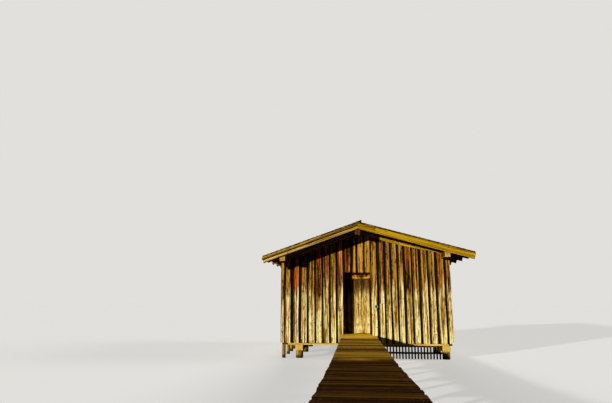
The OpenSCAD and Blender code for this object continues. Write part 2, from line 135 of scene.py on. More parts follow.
class BoardSettings(bpy.types.PropertyGroup):
    """Sizes of the boards, planks and shingles."""

    width: length("Board width", "Usual width of an outer wall board", 0.188)
    gap: length("Board gap", "Usual gap between two outer boards", 0.052)
    inner_lap: length("Inner gap", "Gap between two inner boards, hidden by an outer board", 0.04)
    waver: length("Waver", "How far a sawn edge strays from a straight line", 0.009)
    edge: length("Worn edge", "Width of the worn arris of a board", 0.003)
    plank_pitch: length("Plank pitch", "From one gangway plank to the next", 0.15)
    plank_gap: length("Plank gap", "Open joint between two gangway planks", 0.01)
    shingle_length: length("Shingle length", "Whole length of a shingle", 0.42)
    shingle_course: length("Course", "Length of a shingle that is left bare", 0.15)
    shingle_width: length("Shingle width", "Usual width of a shingle", 0.115)
    nail_radius: length("Nail head", "Radius of a nail head", 0.0045)


class ColourSettings(bpy.types.PropertyGroup):
    """Colours of the weathered wood and metal."""

    straw_dark: colour("Straw shade", "Dark streaks of the bleached boards", 104, 68, 18)
    straw: colour("Straw", "Bleached boards low on the walls", 192, 149, 50)
    cream: colour("Cream", "The palest streaks of bleached boards", 255, 238, 158)
    umber: colour("Umber", "Dark streaks of the sheltered boards", 40, 20, 4)
    chestnut: colour("Chestnut", "Sheltered boards high on the walls", 122, 76, 10)
    amber: colour("Amber", "Light streaks of the sheltered boards", 214, 156, 36)
    bronze: colour("Bronze", "Sheltered boards that turned olive brown", 112, 74, 12)
    russet: colour("Russet", "Reddish streaks of the sheltered boards", 204, 80, 4)
    # painted shade: this near-black colour stands in for the shade in the board gaps, the doorway and
    # the door lining
    gap_wood: colour("Gap wood", "Inner boards between the outer ones", 16, 8, 3)
    olive: colour("Olive", "Shaded grain of the barge boards", 96, 66, 4)
    golden: colour("Golden", "Barge boards and trim", 178, 134, 8)
    honey: colour("Honey", "Pale streaks of the barge boards", 212, 168, 28)
    frame_dark: colour("Frame shade", "Dark grain of the frame timbers", 34, 20, 8)
    frame: colour("Frame", "Squared timbers of the frame", 78, 52, 22)
    frame_light: colour("Frame light", "Pale grain of the frame timbers", 132, 96, 46)
    end_grain: colour("End grain", "Sawn ends of the bearers and purlins", 226, 188, 84)
    deck_dark: colour("Deck shade", "Dark joints and streaks of the planks", 33, 19, 11)
    # painted shade: the far end of the gangway gets this darker brown, which also gives the sunlit
    # planks their dark streaks
    deck_damp: colour("Shaded deck", "Planks at the far end", 70, 44, 22)
    deck_new: colour("Deck by door", "The first planks by the door", 255, 204, 66)
    # painted sunlight: the lighter planks beside the hut
    deck_dry: colour("Sunlit deck", "Planks beside the hut", 236, 172, 46)
    pile: colour("Pile", "Dry part of the round piles", 132, 104, 52)
    pile_dark: colour("Pile shade", "Cracks and the wet foot of the piles", 40, 30, 14)
    shingle: colour("Shingle", "Weathered shingles", 96, 82, 58)
    shingle_dark: colour("Shingle shade", "Damp shingles", 40, 30, 16)
    moss: colour("Moss", "Moss on the shingles", 74, 82, 30)
    rust: colour("Rust", "Rust on straps and nails", 96, 52, 26)
    iron: colour("Iron", "Bare dark iron", 48, 42, 38)
    zinc: colour("Zinc", "Sheet metal of the ring", 150, 188, 186)


class StageSettings(bpy.types.PropertyGroup):
    """Camera and light."""

    lens: amount("Lens", "Focal length in millimetres", 28.82)
    eye: FloatVectorProperty(
        name="Eye", description="Place of the camera", default=(-0.4159, -13.37, 1.828), unit="LENGTH"
    )
    pitch: angle("Pitch", "How far the camera looks up", 11.25)
    turn: angle("Turn", "How far the camera looks left", 5.5)
    key: amount("Key light", "Strength of the main lamp", 4.4)
    key_side: angle("Key side", "How far left of the front the lamp stands", 43)
    key_height: angle("Key height", "Height of the lamp over the horizon", 9.6)
    key_softness: angle("Key softness", "Apparent size of the lamp", 1.5)
    back: amount("Back light", "Strength of the lamp behind", 2.2)
    side: amount("Side light", "Strength of the lamp at the right", 1.5)
    softness: angle("Softness", "Apparent size of the lamps behind and at the right", 20)
    fill: amount("Fill", "Strength of the light from all round", 0.035)
    glow: amount("Glow", "Lifts the lit floor to the tone of the background", 1.14)
    ground: colour("Ground", "The plain pale floor", 225, 224, 220)


# Wood in hand: shapes are cut as loose parts, each a bmesh, and gathered into one piece.


def axes(origin, x, y):
    """The matrix that puts a part, drawn along its own x and y, in its place."""
    z = x.cross(y)
    return Matrix.Translation(origin) @ Matrix((x, y, z)).transposed().to_4x4()


def squared(place, low, high):
    """A squared part between two corners, given in the axes of its place."""
    part = bmesh.new()
    size = high - low
    middle = Matrix.Translation((low + high) / 2)
    bmesh.ops.create_cube(part, size=1, matrix=place @ middle @ Matrix.Diagonal((*size, 1)))
    return part


def ease(part, width, segments=1):
    """Wears the outward edges of a part."""
    sharp = [e for e in part.edges if len(e.link_faces) == 2 and e.calc_face_angle_signed(0) > 0.5]
    bmesh.ops.bevel(
        part, geom=sharp, offset=width, offset_type="OFFSET", segments=segments, profile=0.5,
        affect="EDGES", material=-1, clamp_overlap=True,
    )


def cut_through(part, point, outward, clear=False):
    """Cuts a part along a plane, can clear what stands past it, and gives what the cut made."""
    geom = part.verts[:] + part.edges[:] + part.faces[:]
    cut = bmesh.ops.bisect_plane(part, geom=geom, plane_co=point, plane_no=outward, clear_outer=clear)
    return cut["geom_cut"]


def trim(part, point, outward):
    """Saws off what stands past a plane and closes the cut."""
    made = cut_through(part, point, outward, clear=True)
    edges = [e for e in made if isinstance(e, bmesh.types.BMEdge)]
    if edges:
        bmesh.ops.contextual_create(part, geom=edges)
        bmesh.ops.recalc_face_normals(part, faces=part.faces)


def sawn_apart(part, point, along, joint):
    """The two lengths of a part that is sawn through with an open joint."""
    other = part.copy()
    trim(part, point - along * joint / 2, along)
    trim(other, point + along * joint / 2, -along)
    return [part, other]


def extent(verts, line):
    """The lowest and the highest place of some points along a line."""
    places = [v.co.dot(line) for v in verts]
    return min(places), max(places)


def hew(part, along, step, waver, draw, face=None):
    """Cuts a part across its grain at even steps and lets its sides stray, but not out of a face."""
    low, high = extent(part.verts, along)
    cuts = int((high - low) / step)
    for i in range(1, cuts + 1):
        cut_through(part, along * (low + (high - low) * i / (cuts + 1)), along)
    start = Vector((draw.uniform(0, 90), draw.uniform(0, 90), draw.uniform(0, 90)))
    for v in part.verts:
        bend = noise.noise_vector(along * v.co.dot(along) * 1.3 + start)
        ripple = noise.noise_vector(v.co * 4 + start)
        shift = (bend + ripple * 0.5) * waver
        shift -= along * shift.dot(along)
        if face is not None:
            shift -= face * shift.dot(face)
        v.co += shift


def solids(name):
    """Merged copies of the separate solids of one CAD node."""
    whole = bmesh.new()
    whole.from_mesh(NODES[name].data)
    bmesh.ops.remove_doubles(whole, verts=whole.verts, dist=MERGE)
    bmesh.ops.dissolve_limit(whole, angle_limit=math.radians(1), verts=whole.verts, edges=whole.edges)
    whole.verts.index_update()
    marks = [-1] * len(whole.verts)
    count = 0
    for first in whole.verts:
        if marks[first.index] >= 0:
            continue
        marks[first.index] = count
        waiting = [first]
        while waiting:
            for edge in waiting.pop().link_edges:
                for v in edge.verts:
                    if marks[v.index] < 0:
                        marks[v.index] = count
                        waiting.append(v)
        count += 1
    parts = []
    for i in range(count):
        part = whole.copy()
        part.verts.index_update()
        others = [v for v in part.verts if marks[v.index] != i]
        bmesh.ops.delete(part, geom=others, context="VERTS")
        parts.append(part)
    whole.free()
    return parts


def grain_of(part):
    """The line of a timber's grain, along its longest edge, and the way its widest side looks."""
    longest = max(part.edges, key=lambda e: e.calc_length())
    along = (longest.verts[1].co - longest.verts[0].co).normalized()
    sides = [f for f in part.faces if abs(f.normal.dot(along)) < 0.1]
    widest = max(sides, key=lambda f: f.calc_area())
    face = (widest.normal - along * widest.normal.dot(along)).normalized()
    return along, face


def pour(part, mesh):
    """Adds a loose part to a mesh."""
    loose = bpy.data.meshes.new("loose")
    part.to_mesh(loose)
    part.free()
    mesh.from_mesh(loose)
    bpy.data.meshes.remove(loose)


class Wood:
    """One piece made of boards or timbers, with the run of the grain kept in each of them."""

    def __init__(self, name, seed):
        self.name = name
        self.draw = random.Random(seed)
        self.mesh = bmesh.new()
        self._layers(self.mesh)

    def _layers(self, mesh):
        for name in ("grain", "board"):
            mesh.verts.layers.float_vector.new(name)
        mesh.verts.layers.float.new("redness")

    def add(self, part, along, face, pith=0.06, tone=None, heat=None):
        """Takes in a part."""
        self._layers(part)
        self.mark(part, part.verts, along, face, pith, tone, heat)
        pour(part, self.mesh)

    def plank(self, place, low, high, along, face, edge, step, waver, pith=0.06):
        """Cuts a board between two corners, wears its edges and takes it in."""
        part = squared(place, low, high)
        ease(part, edge)
        hew(part, along, step, waver, self.draw)
        self.add(part, along, face, pith)

    def mark(self, mesh, verts, along, face, pith=0.06, tone=None, heat=None):
        """
        Keeps where each point lies in its board, how pale the board is (its tone) and how red (its
        heat). The pith is how far off the trunk's middle was.
        """
        grain = mesh.verts.layers.float_vector["grain"]
        board = mesh.verts.layers.float_vector["board"]
        redness = mesh.verts.layers.float["redness"]
        lines = (along, along.cross(face), face)
        middles = []
        halves = []
        for line in lines:
            low, high = extent(verts, line)
            middles.append((low + high) / 2)
            halves.append(max((high - low) / 2, MERGE))
        trunk = Vector((
            self.draw.uniform(0, 60), self.draw.uniform(-pith, pith), self.draw.uniform(0.3, 1) * pith
        ))
        own_tone = self.draw.random() if tone is None else tone
        own_heat = self.draw.random() if heat is None else heat
        for v in verts:
            inside = Vector([v.co.dot(line) - middle for line, middle in zip(lines, middles)])
            v[grain] = inside + trunk
            v[board] = (own_tone, inside.y / halves[1], inside.x / halves[0])
            v[redness] = own_heat

    def fit(self, material, body=HUT, replaces=()):
        """Makes the piece an object that rides on its body."""
        return place_mesh(self.name, self.mesh, material, body, replaces)


def place_mesh(name, mesh, material, body, replaces=()):
    """Makes an object of a mesh. It rides on its body and stands for the nodes that it replaces."""
    data = bpy.data.meshes.new(name)
    mesh.to_mesh(data)
    mesh.free()
    data.materials.append(material)
    piece = bpy.data.objects.new(name, data)
    bpy.context.scene.collection.objects.link(piece)
    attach(piece, body)
    if replaces:
        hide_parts(*replaces)
    return piece


def smooth(piece):
    """Shades a piece round and keeps its sharp edges."""
    piece.data.shade_smooth()
    piece.data.set_sharp_from_angle(angle=SMOOTH_UP_TO)


def dress(
    name, material, seed, edge=0.004, step=0.5, waver=0.002, pith=0.03, body=HUT, joint=None, tone=None
):
    """Stands for a CAD node of squared timbers: the same solids with worn edges and a grain."""
    wood = Wood(name + "_timber", seed)
    for solid in solids(name):
        along, face = grain_of(solid)
        lengths = [solid] if joint is None else sawn_apart(solid, joint, along, TIMBER_JOINT)
        for part in lengths:
            ease(part, edge)
            hew(part, along, step, waver, wood.draw)
            wood.add(part, along, face, pith, tone)
    return wood.fit(material, body, (name,))


def log_piece(name, material, seed, ring_gap=0.07):
    """Stands for a CAD node of round piles: knotty logs with worn heads, cut in rings to be uneven."""
    wood = Wood(name + "_logs", seed)
    for part in solids(name):
        left, right = extent(part.verts, X)
        low, high = extent(part.verts, Z)
        middle = sum((v.co for v in part.verts), Vector()) / len(part.verts)
        ease(part, (right - left) / 2 * 0.06, 2)
        rings = max(3, int((high - low) / ring_gap))
        for i in range(1, rings):
            cut_through(part, Z * (low + (high - low) * i / rings), Z)
        start = Vector((wood.draw.uniform(0, 90), wood.draw.uniform(0, 90), 0))
        for v in part.verts:
            out = Vector((v.co.x - middle.x, v.co.y - middle.y, 0))
            ridges = noise.noise(Vector((v.co.x * 16, v.co.y * 16, v.co.z * 2)) + start)
            lumps = noise.noise(v.co * 5 + start)
            v.co -= out * (0.03 + 0.05 * ridges + 0.03 * lumps)
        wood.add(part, Z, X, 0.012)
    smooth(wood.fit(material, HUT, (name,)))


def lathe(mesh, profile, centre, axis, side, steps=40):
    """Turns a profile of radius and distance pairs round an axis."""
    points = [centre + side * radius + axis * reach for radius, reach in profile]
    verts = [bmesh.ops.create_vert(mesh, co=point)["vert"][0] for point in points]
    edges = [mesh.edges.new(pair) for pair in zip(verts, verts[1:])]
    bmesh.ops.spin(
        mesh, geom=verts + edges, cent=centre, axis=axis, dvec=(0, 0, 0), angle=2 * math.pi,
        steps=steps, use_merge=True, use_duplicate=False,
    )
    bmesh.ops.remove_doubles(mesh, verts=mesh.verts, dist=MERGE)
    bmesh.ops.recalc_face_normals(mesh, faces=mesh.faces)


def turned(node, name, profile, material, body, steps=40):
    """
    Stands for a round CAD node that looks forward. The profile is in shares of the node's radius and
    reach.
    """
    low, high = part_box(node)
    centre = Vector(((low.x + high.x) / 2, high.y, (low.z + high.z) / 2))
    radius = (high.x - low.x) / 2
    reach = high.y - low.y
    mesh = bmesh.new()
    lathe(mesh, [(wide * radius, far * reach) for wide, far in profile], centre, -Y, X, steps)
    return place_mesh(name, mesh, material, body, (node,))


def nail_head(mesh, place, radius):
    """A six-sided nail head: its middle and the way it looks come from its place."""
    bmesh.ops.create_cone(
        mesh, cap_ends=True, segments=6, radius1=radius, radius2=radius * 0.7, depth=NAIL_REACH * 2,
        matrix=place,
    )


def below_roof(depth):
    """The two planes at a depth below the roof's top, each as a point and its outward direction."""
    left_out = Vector((-math.sin(LEFT_PITCH), 0, math.cos(LEFT_PITCH)))
    right_out = Vector((math.sin(RIGHT_PITCH), 0, math.cos(RIGHT_PITCH)))
    return ((RIDGE - left_out * depth, left_out), (RIDGE - right_out * depth, right_out))


# Finishes: a small language for the materials.

# width of a year's ring and of the rows in which the knots lie
RING_WIDTH = 0.008
KNOT_ROWS = 0.16
TRIM_KNOTS = {"knot_gap": 0.7, "knot_size": 0.018}
# heights over the feet of the piles: where the roof shelters the wall, where the wall's foot pales
# and where its boards redden
SHELTERED = (2.0, 2.25)
FOOT = (1.3, 0.7)
RED_FROM = (1.8, 2.3)
# the painted shadow of the doorway's side on its hinge side, measured from the leaf's hinge side
DOORWAY_SHADOW_WIDTH = (0.36, 0.28)
# distances from the wall along the gangway: where the painted shade begins, old planks lie and the
# palest planks end
SHADE_FROM = (6.6, 7.4)
OLD_PLANKS = 5.2
PALEST_UP_TO = (1.6, 1.3)


class Field:
    """A number, colour or vector that changes over a surface."""

    def __init__(self, finish, socket):
        self.finish = finish
        self.socket = socket

    def _with(self, operation, first, second):
        return self.finish.make("ShaderNodeMath", {"operation": operation}, {0: first, 1: second})

    def __add__(self, other):
        return self._with("ADD", self, other)

    def __sub__(self, other):
        return self._with("SUBTRACT", self, other)

    def __rsub__(self, other):
        return self._with("SUBTRACT", other, self)

    def __mul__(self, other):
        return self._with("MULTIPLY", self, other)

    def __truediv__(self, other):
        return self._with("DIVIDE", self, other)

    def __pow__(self, other):
        return self._with("POWER", self, other)


class Finish:
    """Builds one material."""

    def __init__(self, name, roughness=0.8, metallic=0.0, specular=0.03):
        self.material = bpy.data.materials.new(name)
        self.material.use_nodes = True
        self.tree = self.material.node_tree
        self.shader = self.tree.nodes["Principled BSDF"]
        self.shader.inputs["Roughness"].default_value = roughness
        self.shader.inputs["Metallic"].default_value = metallic
        self.shader.inputs["Specular IOR Level"].default_value = specular

    def make(self, kind, settings=None, values=None, output=0):
        """Adds a node of a kind: its settings first, then the values or links of its sockets."""
        node = self.tree.nodes.new(kind)
        for key, value in (settings or {}).items():
            if key == "stops":
                self._stops(node.color_ramp.elements, value)
            else:
                setattr(node, key, value)
        for key, value in (values or {}).items():
            if isinstance(value, Field):
                self.tree.links.new(value.socket, node.inputs[key])
            else:
                node.inputs[key].default_value = value
        return Field(self, node.outputs[output])

    def _stops(self, elements, stops):
        while len(elements) < len(stops):
            elements.new(1)
        for element, (position, tint) in zip(elements, stops):
            element.position = position
            element.color = (*tint, 1)

    def spot(self):
        """The place on the object, in metres."""
        return self.make("ShaderNodeTexCoord", output="Object")

    def attribute(self, name, output="Vector"):
        return self.make("ShaderNodeAttribute", {"attribute_name": name}, output=output)

    def split(self, vector):
        """The three numbers of a vector."""
        node = self.tree.nodes.new("ShaderNodeSeparateXYZ")
        self.tree.links.new(vector.socket, node.inputs[0])
        return [Field(self, socket) for socket in node.outputs]

    def vector(self, x, y, z):
        return self.make("ShaderNodeCombineXYZ", values={0: x, 1: y, 2: z})

    def noise(self, vector, scale=1.0, detail=3.0, roughness=0.5):
        """Even noise in a space, given as one vector or as its three numbers."""
        if isinstance(vector, tuple):
            vector = self.vector(*vector)
        values = {"Vector": vector, "Scale": scale, "Detail": detail, "Roughness": roughness}
        return self.make("ShaderNodeTexNoise", values=values)

    def between(self, value, low, high):
        """0 up to low, 1 from high, and a smooth change from one to the other."""
        values = {"Value": value, "From Min": low, "From Max": high}
        return self.make("ShaderNodeMapRange", {"interpolation_type": "SMOOTHSTEP"}, values)

    def ramp(self, value, *stops):
        return self.make("ShaderNodeValToRGB", {"stops": stops}, {"Fac": value})

    def blend(self, factor, first, second):
        """Goes from the first colour to the second."""
        tints = [tint if isinstance(tint, Field) else (*tint, 1) for tint in (first, second)]
        settings = {"data_type": "RGBA"}
        return self.make("ShaderNodeMix", settings, {0: factor, 6: tints[0], 7: tints[1]}, output=2)

    def sine(self, value):
        return self.make("ShaderNodeMath", {"operation": "SINE"}, {0: value})

    def size(self, value):
        """A number without its sign."""
        return self.make("ShaderNodeMath", {"operation": "ABSOLUTE"}, {0: value})

    def bump(self, height, distance):
        values = {"Height": height, "Distance": distance, "Strength": 0.6}
        return self.make("ShaderNodeBump", values=values)

    def wear(self, tint, normal=None, roughness=None):
        """Gives the shader what changes over the surface and returns the material."""
        self.tree.links.new(tint.socket, self.shader.inputs["Base Color"])
        if normal is not None:
            self.tree.links.new(normal.socket, self.shader.inputs["Normal"])
        if roughness is not None:
            self.tree.links.new(roughness.socket, self.shader.inputs["Roughness"])
        return self.material


class Timber(Finish):
    """The finish of sawn or round wood: fibres, streaks, rings and knots from a part's grain."""

    def __init__(self, name, roughness=0.82, knot_gap=0.55, knot_size=0.016, specular=0.03):
        super().__init__(name, roughness, specular=specular)
        self.height = self.split(self.spot())[2]
        self.along, self.across, self.depth = self.split(self.attribute("grain"))
        self.tone, self.side, self.reach = self.split(self.attribute("board"))
        across, depth, along = self.across, self.depth, self.along
        self.cloud = self.noise((along * 1.5, across * 7, depth * 7), detail=2.0)
        self.streak = self.noise((along * 0.8, across * 34, depth * 34), detail=4.0, roughness=0.6)
        self.fibre = self.noise((along * 6, across * 300, depth * 300), detail=2.0)
        near = self._knots(knot_gap)
        self.knot = self.between(near, knot_size, knot_size * 0.6)
        swirl = self.between(near, knot_size * 4, 0.0)
        radius = (across * across + depth * depth) ** 0.5 + (self.cloud - 0.5) * 0.012 + swirl * 0.02
        self.ring = self.sine(radius * (2 * math.pi / RING_WIDTH)) * 0.5 + 0.5
        band = self.noise((along * 0.35, across * 13, self.tone * 50), detail=1.0)
        self.grain = self.streak * 0.4 + self.fibre * 0.14 + self.ring * 0.08 + self.cloud * 0.1
        self.grain = self.grain + band * 0.28

    def _knots(self, gap):
        """How far a point is from the nearest knot."""
        grid = self.vector(self.along / gap, self.across / KNOT_ROWS, 0.0)
        settings = {"voronoi_dimensions": "2D", "feature": "F1"}
        values = {"Vector": grid, "Scale": 1.0}
        near = self.make("ShaderNodeTexVoronoi", settings, values, output="Position")
        knot_along, knot_across, _ = self.split(near)
        one = (self.along - knot_along * gap) * 0.7
        other = self.across - knot_across * KNOT_ROWS
        return (one * one + other * other) ** 0.5

    def tints(self, dark, middle, light, shift=0.0, spread=0.09):
        """The wood's colour from dark streaks to light ones. A small spread makes them stark."""
        value = self.grain + (self.tone - 0.5) * 0.1 + shift
        return self.ramp(value, (0.5 - spread, dark), (0.5, middle), (0.5 + spread, light))

    def bleached(self, hue, shift=0.0, spread=0.09):
        """The colours of wood in the sun."""
        return self.tints(hue.straw_dark, hue.straw, hue.cream, shift, spread)

    def brown(self, hue, shift=0.0, spread=0.09):
        """The colours of wood that the roof shelters."""
        return self.tints(hue.umber, hue.chestnut, hue.amber, shift, spread)

    def hidden(self, hue, shift=0.0):
        """The colours of wood indoors."""
        return self.tints(hue.frame_dark, hue.frame, hue.frame_light, shift)

    def rim(self, start, end):
        """0 inside a board and 1 along both its edges, from one share of its half width to another."""
        return self.between(self.size(self.side), start, end)

    def finish(self, tint, knot_tint, relief=0.0016):
        """Adds the knots and the relief."""
        tint = self.blend(self.knot * 0.8, tint, knot_tint)
        height = self.streak * 0.5 + self.fibre * 0.3 + self.ring * 0.2 - self.knot * 0.4
        return self.wear(tint, self.bump(height, relief))


def palette():
    return bpy.context.scene.boathouse_colours


def sizes():
    return bpy.context.scene.boathouse_boards


def kept(kind=Timber, **settings):
    """
    Builds a material once, under the name of its function, and hands it out again afterwards. The
    function is given the new finish and the palette.
    """

    def wrap(build):
        def find():
            name = build.__name__
            if name in SLOTS.values():
                raise ValueError(f"{name} is the name of a material of the solids")
            return bpy.data.materials.get(name) or build(kind(name, **settings), palette())

        return find

    return wrap


@kept()
def wall_boards(wood, hue):
    """Outer wall boards: brown and orange where the roof shelters them, bleached towards the foot."""
    along, across, tone = wood.along, wood.across, wood.tone
    tongue = wood.noise((along * 0.6, across * 14, tone * 9))
    height = wood.height + (tongue - 0.5) * 1.8 - (tone - 0.5) * 0.4
    sheltered = wood.between(height, *SHELTERED)
    foot = wood.between(height, *FOOT)
    wander = wood.noise((along * 1.1, across * 6, tone * 33), detail=2.0)
    stray = (wander - 0.5) * 4
    dull = wood.between(wood.side + stray, 0.0, -0.6)
    bright = wood.between(wood.side + stray * 0.5, 0.4, 0.8)
    blotch = wood.noise((along * 7, across * 26, tone * 70), detail=4.0)
    stain = wood.between(blotch, 0.50, 0.62)
    fine = (wood.streak - 0.5) * 0.6
    light = fine + foot * 0.05 + bright * 0.03 - dull * 0.05 - stain * 0.08 + 0.02
    pale = wood.bleached(hue, light)
    light = fine + bright * 0.07 - dull * 0.05 - stain * 0.07 + (tone - 0.5) * 0.1
    cool = wood.tints(hue.umber, hue.bronze, hue.straw, light + 0.01, 0.075)
    hot = wood.brown(hue, light, 0.08)
    heat = wood.attribute("redness", "Fac")
    flame = wood.noise((along * 0.8, across * 28, tone * 40 + 5), detail=2.0)
    red = wood.between(flame, 0.54, 0.60) * wood.between(wood.height, *RED_FROM) * heat
    brown = wood.blend(red * 0.9, wood.blend(heat, cool, hot), hue.russet)
    tint = wood.blend(sheltered, pale, brown)
    # painted shade: the left edge of each board is darkened to the gaps' painted shade, which widens the
    # dark gap
    left_edge_shade = wood.between(wood.side, -0.55, -0.85)
    tint = wood.blend(left_edge_shade * 0.9, tint, hue.gap_wood)
    return wood.finish(tint, hue.umber)


@kept()
def inner_boards(wood, hue):
    """The boards behind the gaps, painted near black as the shade that falls in the gaps."""
    return wood.finish(wood.tints((0.002, 0.001, 0.0005), hue.gap_wood, hue.frame_dark), hue.gap_wood)


@kept()
def roof_timber(wood, hue):
    """Rafters and roof boards, brown from years under the covering."""
    return wood.finish(wood.brown(hue, -0.03), hue.umber)


@kept()
def squared_wood(wood, hue):
    """Squared timbers: frames, sills, joists, ledges, the grille and what carries the gangway."""
    return wood.finish(wood.hidden(hue), hue.frame_dark)


@kept()
def bare_beams(wood, hue):
    """Beams with dark sides and sawn ends, which are the paler the higher the tone of the beam."""
    side = wood.hidden(hue)
    brown = wood.brown(hue)
    end = wood.tints(hue.straw_dark, hue.straw, hue.end_grain, 0.02)
    end = wood.blend(wood.tone, brown, end)
    cut = wood.between(wood.size(wood.reach), 0.997, 0.9995)
    cracks = wood.noise((wood.across * 30, wood.depth * 30, wood.tone * 9))
    end = wood.blend(wood.between(cracks, 0.60, 0.72) * 0.8, end, hue.frame_dark)
    return wood.finish(wood.blend(cut, side, end), hue.frame_dark)


def trim_boards(wood, hue, edge_shade_from, lean=0.0, crack=0.0, bleached=0.0):
    """
    Golden weathered boards with painted shade along both edges, from a share of their half width on. The
    lean makes one shaded edge broader than the other.
    """
    tint = wood.tints(hue.olive, hue.golden, hue.honey, -0.01)
    tint = wood.blend(bleached, tint, wood.bleached(hue))
    line = wood.noise((wood.along * 0.5, wood.across * 45, wood.tone * 30), detail=2.0)
    tint = wood.blend(wood.between(line, 0.54, 0.62) * 0.8, tint, hue.umber)
    middle = wood.between(wood.size(wood.side + (wood.cloud - 0.5) * 0.4), 0.16, 0.02)
    tint = wood.blend(middle * crack, tint, hue.umber)
    # painted shade: dark lines along the edges, where the roof's lip and the upper strip cast shadow
    edge = wood.between(wood.size(wood.side + lean), edge_shade_from, 0.92)
    tint = wood.blend(edge * 0.95, tint, hue.umber)
    return wood.finish(tint, hue.umber)


@kept(**TRIM_KNOTS)
def barge_wood(wood, hue):
    """The broad barge boards, cracked along their middle, and the frieze."""
    return trim_boards(wood, hue, 0.84, crack=0.6)


@kept(**TRIM_KNOTS)
def barge_upper_strip(wood, hue):
    """The upper strip of the left barge board, with a painted shadow along its foot, where it covers the
    lower one.
    """
    return trim_boards(wood, hue, 0.5, lean=0.35, bleached=0.3)


@kept(**TRIM_KNOTS)
def barge_lower_strip(wood, hue):
    """The lower strip of the left barge board."""
    return trim_boards(wood, hue, 0.62, bleached=0.6)


@kept()
def sill_wood(wood, hue):
    """The bright strip under the boards."""
    return wood.finish(wood.tints(hue.straw, hue.end_grain, hue.cream, 0.03), hue.straw_dark)


def shaded(wood, tint, hue):
    """Paints the shadow of the doorway's side over its hinge side."""
    off_hinges = wood.split(wood.spot())[0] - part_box("door_leaf")[0].x
    return wood.blend(wood.between(off_hinges, *DOORWAY_SHADOW_WIDTH) * 0.8, tint, hue.gap_wood)


@kept(knot_gap=0.4, knot_size=0.015)
def door_wood(wood, hue):
    """
    Door boards: pale with knots, dirty where rain runs down from the head, and with the painted shadow
    of the deep doorway's side over the hinge side.
    """
    height, across, tone = wood.height, wood.across, wood.tone
    fleck = wood.noise((wood.along * 5, across * 26, tone * 60), detail=4.0)
    foot = wood.between(height, 1.5, 0.8)
    tint = wood.bleached(hue, foot * 0.04 + (fleck - 0.5) * 0.35 + 0.01, 0.095)
    run = wood.noise((height * 0.7, across * 22, tone * 5))
    dirt = wood.between(height + (run - 0.5) * 1.2, 1.75, 2.15)
    tint = wood.blend(dirt * 0.95, tint, wood.brown(hue, -0.06))
    row = wood.between(wood.size(height - LEDGE_NAILS), 0.06, 0.01)
    spots = wood.noise((across * 16, height * 5, tone * 20), detail=2.0)
    tint = wood.blend(row * wood.between(spots, 0.50, 0.60) * 0.5, tint, hue.umber)
    tint = wood.blend(wood.rim(0.93, 1.0) * 0.45, tint, hue.umber)
    return wood.finish(shaded(wood, tint, hue), hue.umber)


@kept()
def door_lining(wood, hue):
    """The frame round the door: orange at its head, painted shade below it, golden underfoot."""
    drip = wood.noise(wood.spot(), scale=9.0)
    # painted shade: below its head the lining is near black
    out_of_shade = wood.between(wood.height + (drip - 0.5) * 0.12, DOOR_TOP - 0.12, DOOR_TOP - 0.06)
    low = wood.tints(hue.gap_wood, hue.umber, hue.chestnut)
    tint = wood.blend(out_of_shade, low, wood.brown(hue, (drip - 0.5) * 0.9 + 0.02))
    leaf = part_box("door_leaf")[0].z
    trodden = wood.between(wood.height, leaf + 0.002, leaf - 0.006)
    tint = shaded(wood, tint, hue)
    tint = wood.blend(trodden, tint, wood.tints(hue.chestnut, hue.golden, hue.honey))
    return wood.finish(tint, hue.umber)


@kept(knot_gap=0.6, specular=0.0)
def deck_wood(wood, hue):
    """Gangway planks: golden brown in painted sunlight by the hut, and dark in painted patchy shade at
    the far end.
    """
    away = FRONT - wood.split(wood.spot())[1]
    patch = wood.noise(wood.spot(), scale=1.3, detail=4.0)
    # painted shade in patches over the far end of the gangway
    far_shade = wood.between(away + (patch - 0.5) * 2, *SHADE_FROM)
    old_planks = wood.between(wood.size(away - OLD_PLANKS), 0.45, 0.3)
    board = (wood.tone - 0.5) * 0.14
    # the planks in the painted sunlight by the hut
    out_of_shade = wood.tints(hue.deck_damp, hue.deck_dry, hue.straw, board, 0.08)
    out_of_shade = wood.blend(old_planks * 0.7, out_of_shade, hue.deck_damp)
    # the planks in the painted shade at the far end
    wet = wood.tints(hue.deck_dark, hue.deck_damp, hue.straw_dark, board * 0.4, 0.055)
    tint = wood.blend(far_shade, out_of_shade, wet)
    tint = wood.blend(wood.rim(0.72, 0.95) * 0.8, tint, hue.deck_dark)
    # the first planks by the door are paler and more golden
    new = wood.tints(hue.honey, hue.deck_new, hue.deck_new)
    tint = wood.blend(wood.between(away, *PALEST_UP_TO) * 0.9, tint, new)
    return wood.finish(tint, hue.deck_dark)


@kept()
def floor_wood(wood, hue):
    """Floor planks inside the hut."""
    edge = wood.rim(0.9, 1.0)
    return wood.finish(wood.blend(edge * 0.6, wood.hidden(hue, 0.03), hue.frame_dark), hue.frame_dark)


@kept(knot_gap=0.5, knot_size=0.02)
def pile_wood(wood, hue):
    """Round piles: cracked along the grain, grey brown above and dark at the wet foot."""
    tint = wood.tints(hue.pile_dark, hue.pile, hue.straw)
    crack = wood.noise((wood.across * 60, wood.depth * 60, wood.height * 1.5))
    tint = wood.blend(wood.between(crack, 0.60, 0.70), tint, hue.pile_dark)
    ragged = wood.noise(wood.spot(), scale=9.0)
    wet = wood.between(wood.height + (ragged - 0.5) * 0.1, 0.14, 0.05)
    tint = wood.blend(wet * 0.85, tint, hue.pile_dark)
    return wood.finish(tint, hue.pile_dark, 0.004)


